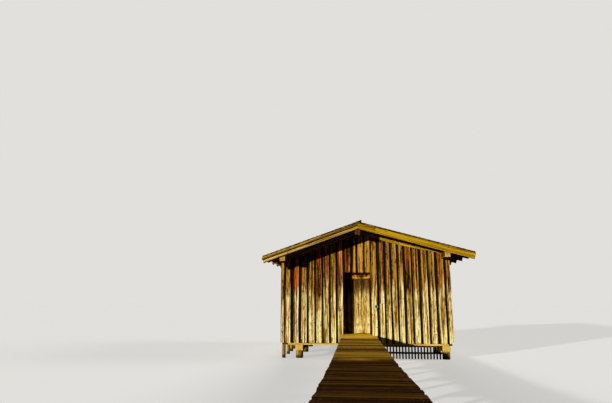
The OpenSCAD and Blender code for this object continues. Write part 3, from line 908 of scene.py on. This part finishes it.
@kept(roughness=0.9)
def shingle_wood(wood, hue):
    """Shingles: weathered grey brown, dark under the laps, with moss in the moist places."""
    tint = wood.tints(hue.shingle_dark, hue.shingle, hue.frame_light)
    patch = wood.noise(wood.spot(), scale=1.1, detail=5.0, roughness=0.6)
    tuft = wood.noise(wood.spot(), scale=35.0, detail=4.0)
    moss = wood.between(patch + (tuft - 0.5) * 0.5, 0.52, 0.60)
    tint = wood.blend(moss * 0.8, tint, hue.moss)
    tint = wood.blend(wood.rim(0.9, 0.99) * 0.85, tint, hue.deck_dark)
    return wood.finish(tint, hue.shingle_dark, 0.003)


@kept(Finish, roughness=0.75, metallic=0.1, specular=0.1)
def rusty_iron(metal, hue):
    """Black iron with rust."""
    spot = metal.spot()
    patch = metal.noise(spot, scale=28.0, detail=5.0, roughness=0.65)
    grit = metal.noise(spot, scale=260.0, detail=2.0)
    rust = metal.between(patch, 0.40, 0.56)
    tint = metal.blend(rust, hue.iron, hue.rust)
    tint = metal.blend(metal.between(grit, 0.45, 0.65) * 0.3, tint, hue.deck_dark)
    height = patch * 0.6 + grit * 0.4
    return metal.wear(tint, metal.bump(height, 0.0008), rust * 0.2 + 0.7)


@kept(Finish, roughness=0.4, metallic=0.85, specular=0.5)
def zinc_sheet(metal, hue):
    """Dull zinc with a faint spangle, and a painted shadow in the ring's hollow, left of its middle."""
    values = {"Vector": metal.spot(), "Scale": 160.0}
    spangle = metal.make("ShaderNodeTexVoronoi", values=values, output="Color")
    tone = metal.split(spangle)[0]
    cloud = metal.noise(metal.spot(), scale=40.0)
    dark = tuple(value * 0.45 for value in hue.zinc)
    tint = metal.blend(tone * 0.4 + cloud * 0.5, dark, tuple(hue.zinc))
    low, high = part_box("lock_ring")
    x, _, z = metal.split(metal.spot())
    wide = high.x - low.x
    sideways = x - (low.x + wide * 0.38)
    upwards = z - (low.z + high.z) / 2
    # painted shade: a dark disc left of the ring's middle, where the rim's shadow falls in the hollow
    hollow_shade = metal.between((sideways * sideways + upwards * upwards) ** 0.5, wide * 0.34, wide * 0.3)
    tint = metal.blend(hollow_shade, tint, hue.deck_dark)
    return metal.wear(tint, metal.bump(cloud, 0.0006), tone * 0.2 + 0.28)


# Boards in place: the walls.


class Wall:
    """One wall: the frame of its outer face, where its boards stand and where they end."""

    # how far behind the wall's face the outer and the inner boards begin and end
    outer = (CLEAR, 0.025)
    inner = (0.026, 0.049)

    def __init__(self, origin, run, inward):
        self.place = axes(origin, run, inward)
        self.run = run
        self.out = -inward
        self.nails = axes(Vector(), run, Z)

    def board(self, start, end, layer, foot, top, draw):
        """An upright board between two places along the wall, cut off under the roof."""
        low = Vector((start, layer[0], foot + draw.uniform(0, 0.012)))
        part = squared(self.place, low, Vector((end, layer[1], top)))
        for point, outward in below_roof(ROOF_DEPTH + CLEAR):
            trim(part, point, outward)
        return part

    def clad(self, wood, behind, boards, foot, top, span, joints=(), looks=None):
        """Puts up outer boards, and behind their gaps the inner ones. Looks are tones and heats."""
        size = sizes()
        lap = size.inner_lap / 2
        middles = [span[0] - lap] + [(start + end) / 2 for start, end in boards] + [span[1] + lap]
        for i, (start, end) in enumerate(boards):
            part = self.board(start, end, self.outer, foot, top, wood.draw)
            tone, heat = looks[i] if looks else (None, None)
            lengths = [part]
            for place, height in joints:
                if place == i:
                    lengths = sawn_apart(part, Z * height, Z, BOARD_JOINT)
            for order, length_of_board in enumerate(lengths):
                older = None if tone is None else tone - order * JOINT_STEP
                self.finish(length_of_board, wood, older, heat)
        for start, end in zip(middles, middles[1:]):
            if end - start > size.inner_lap * 1.5:
                part = self.board(start + lap, end - lap, self.inner, foot + 0.004, top, behind.draw)
                self.finish(part, behind)

    def finish(self, part, wood, tone=None, heat=None):
        size = sizes()
        ease(part, size.edge)
        hew(part, Z, 0.25, size.waver, wood.draw, self.out)
        wood.add(part, Z, self.out, tone=tone, heat=heat)

    def nail(self, mesh, boards, heights, draw):
        """Two nails in each board at the height of each rail."""
        radius = sizes().nail_radius
        for start, end in boards:
            for height in heights:
                for share in (0.2, 0.8):
                    along = start + (end - start) * (share + draw.uniform(-0.06, 0.06))
                    up = height + draw.uniform(-0.02, 0.02)
                    spot = self.place @ Vector((along, self.outer[0], up))
                    nail_head(mesh, Matrix.Translation(spot) @ self.nails, radius)


def spaced(widths, start):
    """Boards as pairs of edges, from their widths and the gap after each."""
    boards = []
    for width, gap in widths:
        boards.append((start, start + width))
        start += width + gap
    return boards


def even_boards(total, draw):
    """Boards of uneven widths that fill a wall from end to end."""
    size = sizes()
    count = round((total + size.gap) / (size.width + size.gap))
    shares = [draw.uniform(0.84, 1.16) for _ in range(count)]
    gaps = [draw.uniform(0.8, 1.2) * size.gap for _ in range(count - 1)]
    wood = total - sum(gaps)
    return spaced([(wood * share / sum(shares), gap) for share, gap in zip(shares, gaps + [0])], 0)


# What the photograph shows of the front: each board's width and the gap after it.
LEFT_OF_DOOR = (
    (0.097, 0.026), (0.186, 0.091), (0.172, 0.071), (0.191, 0.051), (0.191, 0.042),
    (0.209, 0.041), (0.180, 0.051), (0.170, 0.047), (0.182, 0.0),
)
RIGHT_OF_DOOR = (
    (0.203, 0.059), (0.167, 0.040), (0.166, 0.038), (0.165, 0.050), (0.156, 0.056), (0.196, 0.049),
    (0.174, 0.059), (0.213, 0.046), (0.194, 0.064), (0.224, 0.056), (0.147, 0.0),
)
OVER_DOOR = ((0.177, 0.065), (0.112, 0.048), (0.187, 0.038), (0.183, 0.0))
# The same boards' looks: how pale each one is and how red its sheltered part turned.
DARK_RED = (0.2, 1.0)
DULL = (0.35, 0.2)

FAIR = (0.5, 0.1)
FAIR_RED = (0.55, 0.6)
PALE = (0.7, 0.2)
GLOWING = (0.8, 0.7)
LEFT_LOOKS = (DULL, DULL, DARK_RED, DULL, FAIR, DARK_RED, FAIR_RED, FAIR, FAIR_RED)
RIGHT_LOOKS = (DULL, PALE, FAIR, PALE, PALE, DARK_RED, FAIR_RED, PALE, FAIR, FAIR_RED, DULL)
OVER_LOOKS = (DARK_RED, GLOWING, GLOWING, PALE)
# from the edge of the doorway to the first board over it
OVER_DOOR_GAP = 0.07
# boards right of the door that are in two lengths: which one, how high the joint is, and how much
# lower the tone of the upper length is
JOINTS_RIGHT = ((1, 1.68), (2, 1.73))
JOINT_STEP = 0.35
# heights of the rails that the boards are nailed to
RAILS = (0.53, 1.71, 2.88)


class BOATHOUSE_OT_timbers(bpy.types.Operator):
    """Dresses the bearers, sills, joists, frames, plates, purlins and rafters"""

    bl_idname = "boathouse.timbers"
    bl_label = "Timbers"

    def execute(self, context):
        bare = (
            ("bearer_left", 1.0), ("bearer_middle", 0.6), ("bearer_right", 1.0), ("ridge_purlin", 0.0),
            ("wall_plate_left", 0.45), ("wall_plate_right", 0.85),
        )
        for i, (name, tone) in enumerate(bare):
            dress(name, bare_beams(), 100 + i, edge=0.006, waver=0.003, pith=0.02, tone=tone)
        hidden = ("front_sill", "right_sill", "floor_joists")
        frames = ("front_frame", "left_frame", "right_frame", "rear_frame")
        for i, name in enumerate(hidden + frames):
            dress(name, squared_wood(), 120 + i, edge=0.004, step=0.8)
        for i, name in enumerate(("rafters_left", "rafters_right")):
            dress(name, roof_timber(), 130 + i, edge=0.004, step=0.8)
        dress("sill_strip", sill_wood(), 140, edge=0.003)
        dress("water_grille", squared_wood(), 141, edge=0.003, step=0.2, waver=0.0)
        return {"FINISHED"}


class BOATHOUSE_OT_piles(bpy.types.Operator):
    """Makes knotty logs of the piles under the hut and the gangway"""

    bl_idname = "boathouse.piles"
    bl_label = "Piles"

    def execute(self, context):
        for i, name in enumerate(("piles_left", "piles_middle", "piles_right", "gangway_piles")):
            log_piece(name, pile_wood(), 200 + i)
        return {"FINISHED"}


class BOATHOUSE_OT_front(bpy.types.Operator):
    """Puts up the boards of the front wall in two layers"""

    bl_idname = "boathouse.front"
    bl_label = "Front Boards"

    def execute(self, context):
        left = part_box("front_wall_left")
        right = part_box("front_wall_right")
        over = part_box("front_wall_over_door")
        wall = Wall(Vector((left[0].x, FRONT, 0)), X, Y)
        door_left = left[1].x - left[0].x
        door_right = right[0].x - left[0].x
        end = right[1].x - left[0].x
        left_boards = spaced(LEFT_OF_DOOR, 0)
        right_boards = spaced(RIGHT_OF_DOOR, door_right)
        over_boards = spaced(OVER_DOOR, door_left + OVER_DOOR_GAP)
        sections = (
            ("left", left_boards, left, (0, door_left), (), LEFT_LOOKS),
            ("right", right_boards, right, (door_right, end), JOINTS_RIGHT, RIGHT_LOOKS),
            ("over_door", over_boards, over, (door_left, door_right), (), OVER_LOOKS),
        )
        nails = bmesh.new()
        for i, (name, boards, box, span, joints, looks) in enumerate(sections):
            wood = Wood("front_boards_" + name, 300 + i)
            behind = Wood("front_inner_boards_" + name, 310 + i)
            wall.clad(wood, behind, boards, box[0].z + CLEAR, box[1].z + PAST_ROOF, span, joints, looks)
            wall.nail(nails, boards, [z for z in RAILS if z > box[0].z], wood.draw)
            wood.fit(wall_boards(), replaces=("front_wall_" + name,))
            behind.fit(inner_boards())
        place_mesh("front_nails", nails, rusty_iron(), HUT)
        return {"FINISHED"}


class BOATHOUSE_OT_sides(bpy.types.Operator):
    """Boards the side walls and the rear wall, which are built as the front is"""

    bl_idname = "boathouse.sides"
    bl_label = "Side and Rear Boards"

    def execute(self, context):
        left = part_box("left_wall")
        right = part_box("right_wall")
        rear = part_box("rear_wall_left")
        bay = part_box("rear_wall_over_bay")
        split = bay[1].x - bay[0].x
        end = bay[1].x - rear[0].x
        left_wall = Wall(Vector((left[0].x, left[1].y, 0)), -Y, X)
        right_wall = Wall(Vector((right[1].x, right[0].y, 0)), Y, -X)
        rear_wall = Wall(Vector((bay[1].x, BACK, 0)), -X, -Y)
        depth = left[1].y - left[0].y
        sections = (
            ("left_wall", left_wall, (0, depth), left[0].z, left[1].z),
            ("right_wall", right_wall, (0, depth), right[0].z, right[1].z - 0.02),
            ("rear_wall_over_bay", rear_wall, (0, split), bay[0].z, bay[1].z + PAST_ROOF),
            ("rear_wall_left", rear_wall, (split, end), rear[0].z, rear[1].z + PAST_ROOF),
        )
        nails = bmesh.new()
        for i, (name, wall, span, foot, top) in enumerate(sections):
            wood = Wood(name + "_boards", 400 + i)
            behind = Wood(name + "_inner_boards", 410 + i)
            boards = [(a + span[0], b + span[0]) for a, b in even_boards(span[1] - span[0], wood.draw)]
            wall.clad(wood, behind, boards, foot + CLEAR, top, span)
            wall.nail(nails, boards, [z for z in RAILS if foot < z < top], wood.draw)
            wood.fit(wall_boards(), replaces=(name,))
            behind.fit(inner_boards())
        place_mesh("side_nails", nails, rusty_iron(), HUT)
        return {"FINISHED"}


class BOATHOUSE_OT_verge(bpy.types.Operator):
    """Dresses the barge boards and the frieze"""

    bl_idname = "boathouse.verge"
    bl_label = "Barge Boards"

    joint: FloatProperty(
        name="Joint", description="Where the outer right barge board is butted", default=0.36,
        unit="LENGTH",
    )

    def execute(self, context):
        dress("barge_left_upper", barge_upper_strip(), 500, step=0.3, pith=0.05, tone=0.4)
        dress("barge_left_lower", barge_lower_strip(), 501, step=0.3, pith=0.05, tone=0.5)
        broad = ("barge_right_inner", "rear_barge_left", "rear_barge_right", "frieze")
        for i, name in enumerate(broad):
            waver = 0.0 if name.startswith("rear") else 0.002
            dress(name, barge_wood(), 502 + i, step=0.3, waver=waver, pith=0.05)
        joint = Vector((self.joint, 0, RIDGE.z))
        dress("barge_right_outer", barge_wood(), 510, step=0.3, pith=0.05, joint=joint)
        return {"FINISHED"}


class BOATHOUSE_OT_roof(bpy.types.Operator):
    """Lays the roof boards and the shingles on both faces"""

    bl_idname = "boathouse.roof"
    bl_label = "Roof"

    board_depth: length("Board depth", "How far under the roof's top the boards lie", 0.026)
    board_width: length("Board width", "Usual width of a roof board", 0.17)
    flap_thickness: length("Flap", "Thickness of the board over the ridge", 0.016)
    # how far the boards stay back from the roof's ends, and boards and shingles from the eave
    board_end = 0.004
    eave_gap = 0.02
    # how far from the ridge the heads of the shingles stay on the face that the other one laps
    first_head = 0.03
    # half the joint between two shingles
    side_joint = 0.0015
    # a top course whose butts would lie nearer the ridge than the first value gets the second
    nearest_butt = 0.05
    top_butt = 0.07
    # a shingle's head: its depth under the roof's top and its thickness
    head_depth = 0.022
    head_thickness = 0.003
    # how much a full shingle's butt lies higher and is thicker than its head
    butt_rise = 0.020
    butt_growth = 0.006

    def execute(self, context):
        for side, name in ((-1, "roof_left"), (1, "roof_right")):
            self.face(name, side)
        return {"FINISHED"}

    def face(self, name, side):
        """One face, drawn down the slope and along the ridge."""
        pitch = LEFT_PITCH if side < 0 else RIGHT_PITCH
        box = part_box(name)
        eave = box[0].x if side < 0 else box[1].x
        up = Vector((side * math.sin(pitch), 0, math.cos(pitch)))
        down = Vector((side * math.cos(pitch), 0, -math.sin(pitch)))
        run = Y * side
        origin = Vector((RIDGE.x, ROOF_FRONT if side > 0 else ROOF_BACK, RIDGE.z))
        place = axes(origin, down, run)
        slope = (eave - RIDGE.x) / down.x - self.eave_gap
        long_side = ROOF_BACK - ROOF_FRONT
        self.boards(name, place, slope, long_side, run, up)
        self.shingles(name, place, slope, long_side, down, up, self.first_head if side > 0 else 0.0)
        if side < 0:
            self.flap(place, long_side, run, up)

    def flap(self, place, long_side, run, up):
        """The board along the ridge that stands out over the right face."""
        wood = Wood("ridge_flap", 620)
        low = Vector((-RIDGE_LAP + 0.001, 0.001, -self.flap_thickness))
        high = Vector((0.04, long_side - 0.001, -0.0005))
        wood.plank(place, low, high, run, up, edge=0.002, step=0.4, waver=0.0004)
        wood.fit(shingle_wood())

    def boards(self, name, place, slope, long_side, run, up):
        wood = Wood(name + "_boards", 600)
        count = round(slope / self.board_width)
        width = slope / count
        for i in range(count):
            low = Vector((i * width + CLEAR, self.board_end, -ROOF_DEPTH + 0.001))
            high = Vector(((i + 1) * width - CLEAR, long_side - self.board_end, -self.board_depth))
            wood.plank(place, low, high, run, -up, edge=0.002, step=0.8, waver=0.001)
        wood.fit(roof_timber(), replaces=(name,))

    def shingles(self, name, place, slope, long_side, down, up, first):
        """Courses of tapered shingles from the eave up. No head lies nearer the ridge than first."""
        size = sizes()
        wood = Wood(name + "_shingles", 610)
        courses = round(slope / size.shingle_course)
        for course in range(courses + 1):
            butt = slope - course * slope / courses
            if butt < self.nearest_butt:
                butt = self.top_butt
            across = 0.0
            while across < long_side - 0.01:
                width = size.shingle_width * wood.draw.uniform(0.6, 1.3)
                if long_side - across - width < size.shingle_width * 0.6:
                    width = long_side - across
                end = butt + wood.draw.uniform(-0.008, 0.0)
                head = max(end - size.shingle_length, first)
                self.shingle(wood, place, head, end, across, width, down, up)
                across += width
        wood.fit(shingle_wood())

    def shingle(self, wood, place, head, end, across, width, down, up):
        """One tapered shingle. Its head lies on the boards and its butt on the course below."""
        size = sizes()
        low = Vector((head, across + self.side_joint, 0))
        high = Vector((end, across + width - self.side_joint, 1))
        middle = Matrix.Translation((low + high) / 2) @ Matrix.Diagonal((*(high - low), 1))
        verts = bmesh.ops.create_cube(wood.mesh, size=1, matrix=middle)["verts"]
        lift = wood.draw.uniform(-0.002, 0.0)
        for v in verts:
            share = 1 - (end - v.co.x) / size.shingle_length
            top = -self.head_depth + self.butt_rise * share + lift
            thick = self.head_thickness + self.butt_growth * share
            v.co.z = top if v.co.z > 0.5 else top - thick
        bmesh.ops.transform(wood.mesh, matrix=place, verts=verts)
        wood.mark(wood.mesh, verts, down, up, 0.03)


class BOATHOUSE_OT_door(bpy.types.Operator):
    """Builds the door of upright boards in its frame, with ledges and knob"""

    bl_idname = "boathouse.door"
    bl_label = "Door"

    boards: IntProperty(name="Boards", description="Boards in the leaf", default=6, min=1)
    # half the joint between two boards
    board_gap = 0.0015
    # the knob's outline from the door outwards, in shares of its radius and reach
    knob = (
        (0, 0), (0.96, 0), (1, 0.03), (0.94, 0.07), (0.5, 0.10), (0.42, 0.16), (0.40, 0.30),
        (0.48, 0.40), (0.72, 0.48), (0.90, 0.58), (0.96, 0.70), (0.90, 0.83), (0.70, 0.93),
        (0.40, 0.985), (0, 1),
    )

    def execute(self, context):
        low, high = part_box("door_leaf")
        width = (high.x - low.x) / self.boards
        wood = Wood("door_boards", 700)
        for i in range(self.boards):
            near = low.y + wood.draw.uniform(0, 0.003)
            foot = low.z + wood.draw.uniform(0, 0.006)
            start = Vector((low.x + i * width + self.board_gap, near, foot))
            end = Vector((low.x + (i + 1) * width - self.board_gap, high.y, high.z))
            wood.plank(Matrix(), start, end, Z, -Y, edge=0.003, step=0.3, waver=0.0012)
        wood.fit(door_wood(), DOOR, ("door_leaf",))
        dress("door_ledges", squared_wood(), 701, body=DOOR)
        dress("door_frame", door_lining(), 702, edge=0.003, step=0.4)
        piece = turned("door_knob", "door_knob_turned", self.knob, rusty_iron(), DOOR)
        piece.data.shade_smooth()
        return {"FINISHED"}


class BOATHOUSE_OT_ironwork(bpy.types.Operator):
    """Makes the strap hinges with their bolts and the ring on the wall"""

    bl_idname = "boathouse.ironwork"
    bl_label = "Ironwork"

    # how far a strap stands off the ledges, and the width of its worn edges
    strap_depth = 0.006
    worn_edge = 0.001
    # places of the bolts along a strap, and the shape of their heads in metres
    bolts = (0.25, 0.55, 0.85)
    dome = ((0.009, 0), (0.0088, 0.002), (0.007, 0.0045), (0.004, 0.006), (0, 0.0065))
    # the ring's outline from the middle outwards and back, in shares of its radius and reach
    collar = (
        (0, 0.12), (0.70, 0.12), (0.73, 0.2), (0.73, 0.84), (0.77, 0.96), (0.84, 1), (0.93, 0.96),
        (1, 0.84), (1, 0.0), (0.70, 0.0), (0, 0.0),
    )

    def execute(self, context):
        self.forge("door_straps", DOOR, self.bolts)
        self.forge("hinge_pintles", HUT)
        smooth(turned("lock_ring", "lock_ring_rolled", self.collar, zinc_sheet(), HUT, 48))
        return {"FINISHED"}

    def forge(self, node, body, bolts=()):
        """Stands for a CAD node of iron, with worn edges and the heads of its bolts."""
        mesh = bmesh.new()
        for solid in solids(node):
            left, right = extent(solid.verts, X)
            foot, head = extent(solid.verts, Z)
            for share in bolts:
                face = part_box("door_ledges")[1].y + self.strap_depth
                spot = Vector((left + (right - left) * share, face, (foot + head) / 2))
                lathe(mesh, self.dome, spot, Y, X, 12)
            ease(solid, self.worn_edge)
            pour(solid, mesh)
        place_mesh(node + "_forged", mesh, rusty_iron(), body, (node,))


class BOATHOUSE_OT_floor(bpy.types.Operator):
    """Lays the floor planks"""

    bl_idname = "boathouse.floor"
    bl_label = "Floor"

    plank_width: length("Plank width", "Usual width of a floor plank", 0.14)

    def execute(self, context):
        low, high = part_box("floor_boards")
        wood = Wood("floor_planks", 800)
        count = round((high.x - low.x) / self.plank_width)
        width = (high.x - low.x) / count
        for i in range(count):
            start = Vector((low.x + i * width + CLEAR, low.y, low.z))
            end = Vector((low.x + (i + 1) * width - CLEAR, high.y, high.z - 0.001))
            wood.plank(Matrix(), start, end, Y, Z, edge=0.003, step=0.6, waver=0.001)
        wood.fit(floor_wood(), replaces=("floor_boards",))
        return {"FINISHED"}


class BOATHOUSE_OT_gangway(bpy.types.Operator):
    """Lays the planks of the gangway and dresses what carries them"""

    bl_idname = "boathouse.gangway"
    bl_label = "Gangway"

    thickness: length("Thickness", "Thickness of a plank", 0.039)
    # from the end and from the side of a plank to its nails
    nail_end = 0.09
    nail_side = 0.03

    def execute(self, context):
        size = sizes()
        low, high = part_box("gangway_deck")
        wood = Wood("gangway_planks", 900)
        nails = bmesh.new()
        count = round((high.y - low.y) / size.plank_pitch)
        for i in range(count):
            near = i * size.plank_pitch + size.plank_gap / 2
            far = (i + 1) * size.plank_pitch - size.plank_gap / 2
            rise = GENTLE_RISE if (near + far) / 2 < BEND else STEEP_RISE
            back = Vector((0, 1, -rise)).normalized()
            origin = Vector((low.x, FRONT - far, low.z + self.thickness + self.height(far)))
            place = axes(origin, X, back)
            start = Vector((wood.draw.uniform(0, 0.02), 0, -self.thickness))
            right = high.x - low.x - wood.draw.uniform(0, 0.02)
            end = Vector((right, far - near, -wood.draw.uniform(0, 0.003)))
            up = place.to_3x3() @ Z
            wood.plank(place, start, end, X, up, edge=0.004, step=0.12, waver=0.002, pith=0.08)
            for along in (self.nail_end, high.x - low.x - self.nail_end):
                for across in (self.nail_side, far - near - self.nail_side):
                    spot = place @ Vector((along + wood.draw.uniform(-0.01, 0.01), across, -0.001))
                    nail_head(nails, Matrix.Translation(spot), size.nail_radius * 1.3)
        wood.fit(deck_wood(), replaces=("gangway_deck",))
        place_mesh("gangway_nails", nails, rusty_iron(), HUT)
        dress("gangway_crossbeams", squared_wood(), 901, edge=0.006, step=0.3, waver=0.003)
        dress("gangway_beams", squared_wood(), 902, edge=0.005)
        return {"FINISHED"}

    def height(self, away):
        """How far the deck has risen at a distance from the wall."""
        return GENTLE_RISE * min(away, BEND) + STEEP_RISE * max(away - BEND, 0)


class BOATHOUSE_OT_stage(bpy.types.Operator):
    """Sets up the floor, the lamps, the background and the camera"""

    bl_idname = "boathouse.stage"
    bl_label = "Stage"

    # half the side of the floor, and how far under the object it lies
    half_floor = 150
    sunk = 0.001

    def execute(self, context):
        scene = context.scene
        stage = scene.boathouse_stage
        floor = bmesh.new()
        bmesh.ops.create_grid(floor, x_segments=1, y_segments=1, size=self.half_floor)
        data = bpy.data.meshes.new("floor")
        floor.to_mesh(data)
        floor.free()
        data.materials.append(self.ground(stage))
        ground = bpy.data.objects.new("floor", data)
        ground.location.z = -self.sunk
        scene.collection.objects.link(ground)
        turn, rise = stage.key_side, stage.key_height
        left, front = math.sin(turn) * math.cos(rise), math.cos(turn) * math.cos(rise)
        key = Vector((-left, -front, math.sin(rise)))
        self.sun(scene, "key", key, stage.key, stage.key_softness)
        self.sun(scene, "back", Vector((0, 1, 0.3)), stage.back, stage.softness)
        self.sun(scene, "side", Vector((1, 0.12, 0.35)), stage.side, stage.softness)
        self.background(scene, stage)
        camera = bpy.data.cameras.new("camera")
        camera.lens = stage.lens
        camera.sensor_width = 36
        camera.clip_end = 400
        eye = bpy.data.objects.new("camera", camera)
        eye.location = stage.eye
        eye.rotation_euler = (math.pi / 2 + stage.pitch, 0, stage.turn)
        scene.collection.objects.link(eye)
        scene.camera = eye
        scene.view_settings.view_transform = "Standard"
        return {"FINISHED"}

    def sun(self, scene, name, towards, strength, softness):
        lamp = bpy.data.lights.new(name, "SUN")
        lamp.energy = strength
        lamp.angle = softness
        sun = bpy.data.objects.new(name, lamp)
        sun.rotation_euler = towards.to_track_quat("Z", "Y").to_euler()
        scene.collection.objects.link(sun)

    def ground(self, stage):
        """A pale floor that keeps the shadows and meets the background without a line."""
        floor = Finish("pale_floor", roughness=1.0, specular=0.0)
        seen = floor.make("ShaderNodeLightPath", output="Is Camera Ray")
        white = tuple(value / max(stage.ground) for value in stage.ground)
        tint = floor.blend(seen, (0.06, 0.06, 0.06), white)
        floor.tree.links.new(tint.socket, floor.shader.inputs["Base Color"])
        values = {"Color": (*stage.ground, 1), "Strength": stage.glow}
        glow = floor.make("ShaderNodeEmission", values=values)
        shader = Field(floor, floor.shader.outputs[0])
        mixed = floor.make("ShaderNodeMixShader", values={0: seen * 0.55, 1: shader, 2: glow})
        floor.tree.links.new(mixed.socket, floor.tree.nodes["Material Output"].inputs["Surface"])
        return floor.material

    def background(self, scene, stage):
        """Pale where it is seen or mirrored, and weaker as a light."""
        world = bpy.data.worlds.new("background")
        world.use_nodes = True
        nodes, links = world.node_tree.nodes, world.node_tree.links
        path = nodes.new("ShaderNodeLightPath")
        strength = nodes.new("ShaderNodeMix")
        strength.inputs[2].default_value = stage.fill
        strength.inputs[3].default_value = 1.0
        seen = nodes.new("ShaderNodeMath")
        seen.operation = "MAXIMUM"
        links.new(path.outputs["Is Camera Ray"], seen.inputs[0])
        links.new(path.outputs["Is Glossy Ray"], seen.inputs[1])
        links.new(seen.outputs[0], strength.inputs[0])
        nodes["Background"].inputs["Color"].default_value = (*stage.ground, 1)
        links.new(strength.outputs[0], nodes["Background"].inputs["Strength"])
        scene.world = world


OPERATORS = (
    BOATHOUSE_OT_timbers,
    BOATHOUSE_OT_piles,
    BOATHOUSE_OT_front,
    BOATHOUSE_OT_sides,
    BOATHOUSE_OT_verge,
    BOATHOUSE_OT_roof,
    BOATHOUSE_OT_door,
    BOATHOUSE_OT_ironwork,
    BOATHOUSE_OT_floor,
    BOATHOUSE_OT_gangway,
    BOATHOUSE_OT_stage,
)


class BOATHOUSE_PT_panel(bpy.types.Panel):
    """The steps that dress the boathouse"""

    bl_idname = "BOATHOUSE_PT_panel"
    bl_label = "Boathouse"
    bl_space_type = "VIEW_3D"
    bl_region_type = "UI"
    bl_category = "Boathouse"

    def draw(self, context):
        for operator in OPERATORS:
            self.layout.operator(operator.bl_idname)


CLASSES = (BoardSettings, ColourSettings, StageSettings, *OPERATORS, BOATHOUSE_PT_panel)
# seed of the noise that makes timbers uneven: 0 would take the clock and differ each run
NOISE_SEED = 1


def register():
    noise.seed_set(NOISE_SEED)
    for cls in CLASSES:
        bpy.utils.register_class(cls)
    bpy.types.Scene.boathouse_boards = PointerProperty(type=BoardSettings)
    bpy.types.Scene.boathouse_colours = PointerProperty(type=ColourSettings)
    bpy.types.Scene.boathouse_stage = PointerProperty(type=StageSettings)


def unregister():
    del bpy.types.Scene.boathouse_boards
    del bpy.types.Scene.boathouse_colours
    del bpy.types.Scene.boathouse_stage
    for cls in reversed(CLASSES):
        bpy.utils.unregister_class(cls)


def main():
    register()
    bpy.ops.boathouse.timbers()
    bpy.ops.boathouse.piles()
    bpy.ops.boathouse.front()
    bpy.ops.boathouse.sides()
    bpy.ops.boathouse.verge()
    bpy.ops.boathouse.roof()
    bpy.ops.boathouse.door()
    bpy.ops.boathouse.ironwork()
    bpy.ops.boathouse.floor()
    bpy.ops.boathouse.gangway()
    bpy.ops.boathouse.stage()
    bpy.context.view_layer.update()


if __name__ == "__main__":
    main()
